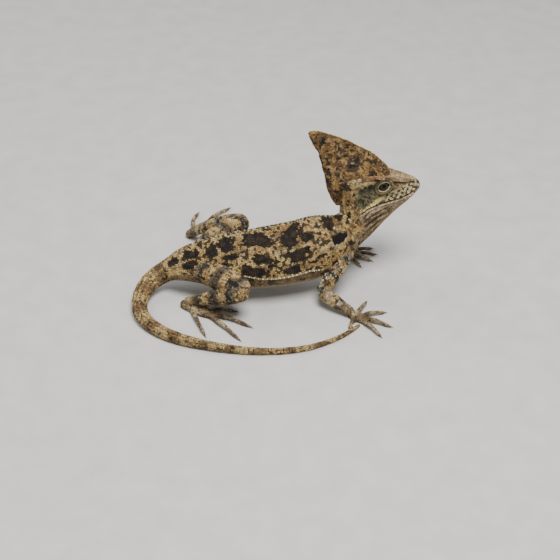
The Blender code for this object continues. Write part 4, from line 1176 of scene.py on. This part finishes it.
def scale_tint(name, root, tone):
    """The markings where a scale is rooted; the teeth of the back are pale and brown by turns."""
    if name == "crest_back":
        return np.where(tone > 1.0, CREAM, BROWN)
    return markings(root, owners_of(root)) * tone


def scale_piece(name, kinds):
    """One object of many scales, each with its colour and its patch of the unwrapped skin."""
    points, loops, colours, patches, count = [], [], [], [], 0
    for kind, rows in kinds:
        form, triangles = TEMPLATES[kind]
        root, normal, lie, size, tone = np.split(rows, [3, 6, 9, 12], axis=1)
        along = unit(lie - normal * (lie * normal).sum(axis=1, keepdims=True))
        across = np.cross(normal, along)
        local = form[None, :, :] * size[:, None, :]
        local[:, :, 2] += size[:, 2:] * (0.35 if kind == "tooth" else 0.2)
        made = root[:, None, :] + local[:, :, :1] * along[:, None, :]
        made = made + local[:, :, 1:2] * across[:, None, :] + local[:, :, 2:] * normal[:, None, :]
        tint = scale_tint(name, root, tone) * (1.22 - 0.78 * DICE.random((len(rows), 1)) ** 1.7)
        # Painted shade at each scale's root by the skin, and a faint painted highlight on its raised end
        painted_shade_and_highlight = 0.3 + 0.74 * np.clip(form[:, 2] + 0.5, 0.0, 1.2)
        colours.append((tint[:, None, :] * painted_shade_and_highlight[None, :, None]).reshape(-1, 3))
        spread = unwrap(name, root)[:, None, :] + PATCH * 0.8 * form[None, :, :2]
        patches.append(spread[:, triangles.ravel(), :].reshape(-1, 2))
        base = count + np.arange(len(rows))[:, None, None] * len(form)
        loops.append((base + triangles[None, :, :]).reshape(-1, 3))
        points.append(made.reshape(-1, 3))
        count += len(rows) * len(form)
    patches = np.clip(np.vstack(patches), 0.0, 1.0)
    data = scale_mesh(name, above_floor(np.vstack(points)), np.vstack(loops), patches)
    return shown_mesh(name, data, np.clip(np.vstack(colours), 0.0, 1.0))


def scale_pieces():
    """All the scale objects, the largest pieces shared out along the body."""
    made = []
    for name, kinds in COAT.pieces.items():
        kinds = [(kind, np.array(rows)) for kind, rows in kinds.items()]
        total = sum(len(rows) for _, rows in kinds)
        parts = math.ceil(total / MOST_SCALES)
        if parts == 1:
            made.append(scale_piece(name, kinds))
            continue
        bounds = np.quantile(np.concatenate([rows[:, 0] for _, rows in kinds]), np.linspace(0, 1, parts + 1))
        bounds[-1] += 1.0
        for number, (low, high) in enumerate(zip(bounds, bounds[1:])):
            inside = [(kind, rows[(rows[:, 0] >= low) & (rows[:, 0] < high)]) for kind, rows in kinds]
            made.append(scale_piece(f"{name}.{number + 1}", [pair for pair in inside if len(pair[1])]))
    return made


# Eyes, lids and claws

def lid_mesh():
    """The lids of both eyes: their outline turned round each eye."""
    whole = bmesh.new()
    for hand in (-1, 1):
        lid = bmesh.new()
        verts = [lid.verts.new((reach, 0.0, side)) for reach, side in LID_PROFILE]
        edges = [lid.edges.new(pair) for pair in zip(verts, verts[1:])]
        bmesh.ops.spin(lid, geom=verts + edges, cent=(0, 0, 0), axis=(0, 0, 1), dvec=(0, 0, 0),
                       angle=2 * math.pi, steps=72, use_merge=True)
        for v in lid.verts:
            v.co = on_lid(math.hypot(v.co.x, v.co.y), math.atan2(v.co.y, v.co.x), v.co.z, hand) * MM
        part = as_mesh(lid, "lid")
        whole.from_mesh(part)
        bpy.data.meshes.remove(part)
    bmesh.ops.remove_doubles(whole, verts=whole.verts, dist=0.0005 * MM)
    return rounded_mesh(whole, "lids")


CORNEA_RADIUS, CORNEA_BULGE = 2.2, 0.28


def eye_object(hand, name):
    """An eyeball with a bulging cornea, and for each point its distance from the middle of the pupil."""
    mesh = bmesh.new()
    bmesh.ops.create_uvsphere(mesh, u_segments=64, v_segments=40, radius=EYE_RADIUS)
    gaze = unit(LEFTWARDS * hand + UPWARDS * 0.15 - BACKWARDS * 0.02)
    across = unit(np.cross(UPWARDS, gaze))
    above = np.cross(gaze, across)
    reaches = []
    for v in mesh.verts:
        reach = math.hypot(v.co.x, v.co.y) if v.co.z > 0 else EYE_RADIUS
        bulge = CORNEA_BULGE * max(0.0, 1.0 - (reach / CORNEA_RADIUS) ** 2)
        reaches.append(reach)
        off = across * v.co.x + above * v.co.y + gaze * (v.co.z + bulge)
        v.co = (on_head(EYE_BACK, EYE_UP, hand * EYE_SIDE) + off) * MM
    data = rounded_mesh(mesh, name)
    data.attributes.new("reach", "FLOAT", "POINT").data.foreach_set("value", reaches)
    return new_object(name, data)


CLAW_STEPS, CLAW_RADIUS, CLAW_LENGTH, CLAW_SUNK = 7, 0.4, 2.35, 0.45


def add_claw(mesh, line, size):
    """One claw: a ring drawn out along a curve that rises and then hooks down, thinner all the way."""
    tip, forward, up = line.points[-1], unit(line.along[-1] * [1, 1, 0]), np.array([0.0, 0.0, 1.0])
    side = np.cross(up, forward)
    ring = bmesh.ops.create_circle(mesh, cap_ends=False, segments=10, radius=CLAW_RADIUS * size * MM)["verts"]
    edges = list({e for v in ring for e in v.link_edges})
    centre, thick = np.zeros(3), 1.0
    for v in ring:
        v.co = side * v.co.x * 0.8 + up * v.co.y
    for share in np.linspace(0, 1, CLAW_STEPS + 1):
        if share > 0:
            made = bmesh.ops.extrude_edge_only(mesh, edges=edges)["geom"]
            ring = [v for v in made if isinstance(v, bmesh.types.BMVert)]
            edges = [e for e in made if isinstance(e, bmesh.types.BMEdge) and all(v in made for v in e.verts)]
        rise = size * (0.55 * share - 0.95 * share**2)
        ahead = CLAW_LENGTH * size * share - CLAW_SUNK
        next_centre, next_thick = (tip + forward * ahead + up * rise) * MM, 1.0 - 0.9 * share**1.3
        for v in ring:
            v.co = next_centre + (np.array(v.co) - centre) * (next_thick / thick)
        centre, thick = next_centre, next_thick
    bmesh.ops.contextual_create(mesh, geom=edges)


def claw_mesh():
    """A claw at the end of every toe and finger."""
    mesh = bmesh.new()
    for name, lines in DIGIT_LINES.items():
        for line in lines:
            add_claw(mesh, line, 1.0 if name.startswith("foot") else 0.85)
    for v in mesh.verts:
        v.co.z = max(v.co.z, 0.02 * MM)
    return rounded_mesh(mesh, "claws")


# Materials

class Value:
    """A number that a material works out, with Python's own signs."""

    def __init__(self, shader, socket):
        self.shader = shader
        self.socket = socket

    def worked(self, operation, *values):
        return Value(self.shader, self.shader.node("ShaderNodeMath", {"operation": operation}, values))

    def __add__(self, other):
        return self.worked("ADD", self, other)

    def __sub__(self, other):
        return self.worked("SUBTRACT", self, other)

    def __rsub__(self, other):
        return self.worked("SUBTRACT", other, self)

    def __mul__(self, other):
        return self.worked("MULTIPLY", self, other)

    def __truediv__(self, other):
        return self.worked("DIVIDE", self, other)

    __radd__ = __add__
    __rmul__ = __mul__


class Shader:
    """A material and the nodes that make it."""

    def __init__(self, name, **uniform):
        self.material = bpy.data.materials.new(name)
        self.material.use_nodes = True
        self.tree = self.material.node_tree
        self.surface = self.tree.nodes["Principled BSDF"]
        for socket, value in uniform.items():
            self.surface.inputs[socket.replace("_", " ")].default_value = value

    def node(self, kind, settings, values, output=0):
        """A new node: its settings first, then its inputs by name or in order; gives one output."""
        made = self.tree.nodes.new(kind)
        for name, value in settings.items():
            setattr(made, name, value)
        pairs = values.items() if isinstance(values, dict) else enumerate(values)
        for place, value in pairs:
            self.put(made.inputs[place], value)
        return made.outputs[output]

    def put(self, socket, value):
        if isinstance(value, Value):
            value = value.socket
        if isinstance(value, bpy.types.NodeSocket):
            self.tree.links.new(value, socket)
        else:
            socket.default_value = value

    def looks(self, colour, rough):
        self.put(self.surface.inputs["Base Color"], colour)
        self.put(self.surface.inputs["Roughness"], rough)

    def bumpy(self, height, distance):
        values = {"Height": height, "Distance": distance, "Strength": 0.6}
        self.put(self.surface.inputs["Normal"], self.node("ShaderNodeBump", {}, values))

    def attribute(self, name, output):
        return self.node("ShaderNodeAttribute", {"attribute_name": name}, {}, output)

    def noise(self, per_metre, detail=2.0):
        places = self.node("ShaderNodeTexCoord", {}, {}, "Object")
        values = {"Vector": places, "Scale": per_metre, "Detail": detail}
        return Value(self, self.node("ShaderNodeTexNoise", {}, values, "Fac"))

    def brighter(self, colour, level):
        """A colour times a number."""
        grey = self.node("ShaderNodeCombineXYZ", {}, [level, level, level])
        return self.node("ShaderNodeVectorMath", {"operation": "MULTIPLY"}, [colour, grey])

    def ramp(self, value, stops):
        """The colours that a number passes on its way through the stops."""
        output = self.node("ShaderNodeValToRGB", {}, [value])
        elements = output.node.color_ramp.elements
        while len(elements) < len(stops):
            elements.new(0.5)
        for element, (place, colour) in zip(elements, stops):
            element.position = place
            element.color = (*colour, 1.0)
        return output


def marked_material(name, level, rough, depth):
    """The animal's markings with a little unevenness of its own, times a level that paints shade below 1."""
    shader = Shader(name, Specular_IOR_Level=0.28)
    fine, broad = shader.noise(2600.0, 3.0), shader.noise(240.0)
    marking = shader.attribute("marking", "Color")
    colour = shader.brighter(marking, level * (0.8 + 0.26 * fine + 0.14 * broad))
    shader.looks(colour, rough + 0.22 * broad - 0.08 * fine)
    shader.bumpy(fine, depth * MM)
    return shader.material


def lid_material():
    """The lids' markings, a little glossier than the skin."""
    shader = Shader("lid_skin", Specular_IOR_Level=0.45)
    fine = shader.noise(1800.0, 3.0)
    colour = shader.brighter(shader.attribute("marking", "Color"), 0.75 + 0.35 * fine)
    shader.looks(colour, 0.45 + 0.2 * fine)
    shader.bumpy(fine, 0.05 * MM)
    return shader.material


def eye_material():
    """Black pupil, a streaked dark brown iris that is lighter round the pupil, and a wet surface."""
    shader = Shader("wet_eye", Specular_IOR_Level=0.05, Coat_Weight=0.5, Coat_Roughness=0.02, Coat_IOR=1.3)
    reach = Value(shader, shader.attribute("reach", "Fac"))
    streaks = shader.noise(1500.0, 4.0)
    stops = [(0.0, (0.002, 0.002, 0.002)), (0.36, (0.002, 0.002, 0.002)), (0.4, (0.026, 0.021, 0.012)),
             (0.58, (0.036, 0.03, 0.018)), (0.66, (0.015, 0.013, 0.008)), (0.86, (0.021, 0.018, 0.011)),
             (0.95, (0.008, 0.007, 0.005))]
    iris = shader.ramp(reach / 2.4 + 0.05 * (streaks - 0.5), stops)
    shader.looks(shader.brighter(iris, 0.6 + 0.8 * streaks), 0.08 + 0.08 * streaks)
    return shader.material


def claw_material():
    """Dark horn, browner in places."""
    shader = Shader("dark_horn", Specular_IOR_Level=0.5)
    fine, broad = shader.noise(2200.0), shader.noise(500.0)
    stops = [(0.3, (0.018, 0.013, 0.010)), (0.7, (0.085, 0.058, 0.036))]
    shader.looks(shader.ramp(broad, stops), 0.26 + 0.2 * fine)
    shader.bumpy(fine, 0.03 * MM)
    return shader.material


def floor_material():
    shader = Shader("pale_floor", Specular_IOR_Level=0.3)
    fine = shader.noise(90.0, 3.0)
    stops = [(0.3, (0.56, 0.55, 0.53)), (0.7, (0.62, 0.61, 0.59))]
    shader.looks(shader.ramp(fine, stops), 0.7 + 0.1 * fine)
    return shader.material


# The animal put together

def finished(piece, material):
    piece.data.materials.append(material)
    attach(piece, "root")
    return piece


SCALE_SKIN = marked_material("scaled_skin", 1.0, 0.55, 0.03)
# The skin shows only between the scales; its level of 0.35 is painted shade in these crevices
SHADED_UNDER_SKIN = marked_material("skin_between_scales", 0.35, 0.65, 0.05)

lay_scales()
skin = shown_mesh("skin", SKIN_MESH, markings(SKIN_POINTS, SKIN_OWNERS))
SKIN_MESH.polygons.foreach_set("use_smooth", np.ones(len(SKIN_MESH.polygons), bool))
finished(skin, SHADED_UNDER_SKIN)
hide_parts(*FLESH)
for piece in scale_pieces():
    finished(piece, SCALE_SKIN)

lids = lid_mesh()
lid_points, _ = mesh_arrays(lids)
lid_owner = np.full(len(lid_points), FLESH.index("head"))
finished(shown_mesh("lids", lids, markings(lid_points, lid_owner)), lid_material())
WET = eye_material()
for hand, side_name in ((-1, "right"), (1, "left")):
    eye = finished(eye_object(hand, "eyeball_" + side_name), WET)
    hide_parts("eye_" + side_name)
finished(new_object("claws", claw_mesh()), claw_material())


# Floor, light and camera

def flat_floor():
    mesh = bmesh.new()
    bmesh.ops.create_grid(mesh, x_segments=1, y_segments=1, size=3.0)
    data = as_mesh(mesh, "floor")
    data.materials.append(floor_material())
    return new_object("floor", data)


flat_floor()


def aim(obj, place, target):
    obj.location = place
    obj.rotation_euler = (Vector(target) - Vector(place)).to_track_quat("-Z", "Y").to_euler()


def soft_light(name, place, size, power, colour):
    """A round lamp, in metres and watts, aimed at the animal's middle."""
    light = bpy.data.lights.new(name, "AREA")
    light.shape = "DISK"
    light.size = size
    light.energy = power
    light.color = colour
    aim(new_object(name, light), place, (0.0, 0.0, 0.02))


soft_light("window", (0.06, -0.24, 0.68), 0.36, 7.2, (1.0, 0.985, 0.96))
soft_light("sky", (-0.45, 0.35, 0.55), 0.6, 2.2, (0.95, 0.975, 1.0))

world = bpy.data.worlds.new("studio")
bpy.context.scene.world = world
world.use_nodes = True
world.node_tree.nodes["Background"].inputs["Color"].default_value = (0.93, 0.95, 0.97, 1.0)
world.node_tree.nodes["Background"].inputs["Strength"].default_value = 0.38

# The camera looks at the point that the body was laid out from
LOOK_AT = Vector(-ORIGIN * MM)
CAMERA_DISTANCE, CAMERA_TURN, CAMERA_RISE = 0.655, math.radians(-9.0), math.radians(36.0)
camera = bpy.data.cameras.new("camera")
camera.sensor_fit = "HORIZONTAL"
camera.sensor_width = 36.0
camera.lens = 94.5
camera.clip_start = 0.01
camera_object = new_object("camera", camera)
bpy.context.scene.camera = camera_object
level = Vector((math.sin(CAMERA_TURN), -math.cos(CAMERA_TURN), 0.0)) * math.cos(CAMERA_RISE)
towards_camera = level + Vector((0.0, 0.0, math.sin(CAMERA_RISE)))
aim(camera_object, LOOK_AT + towards_camera * CAMERA_DISTANCE, LOOK_AT)
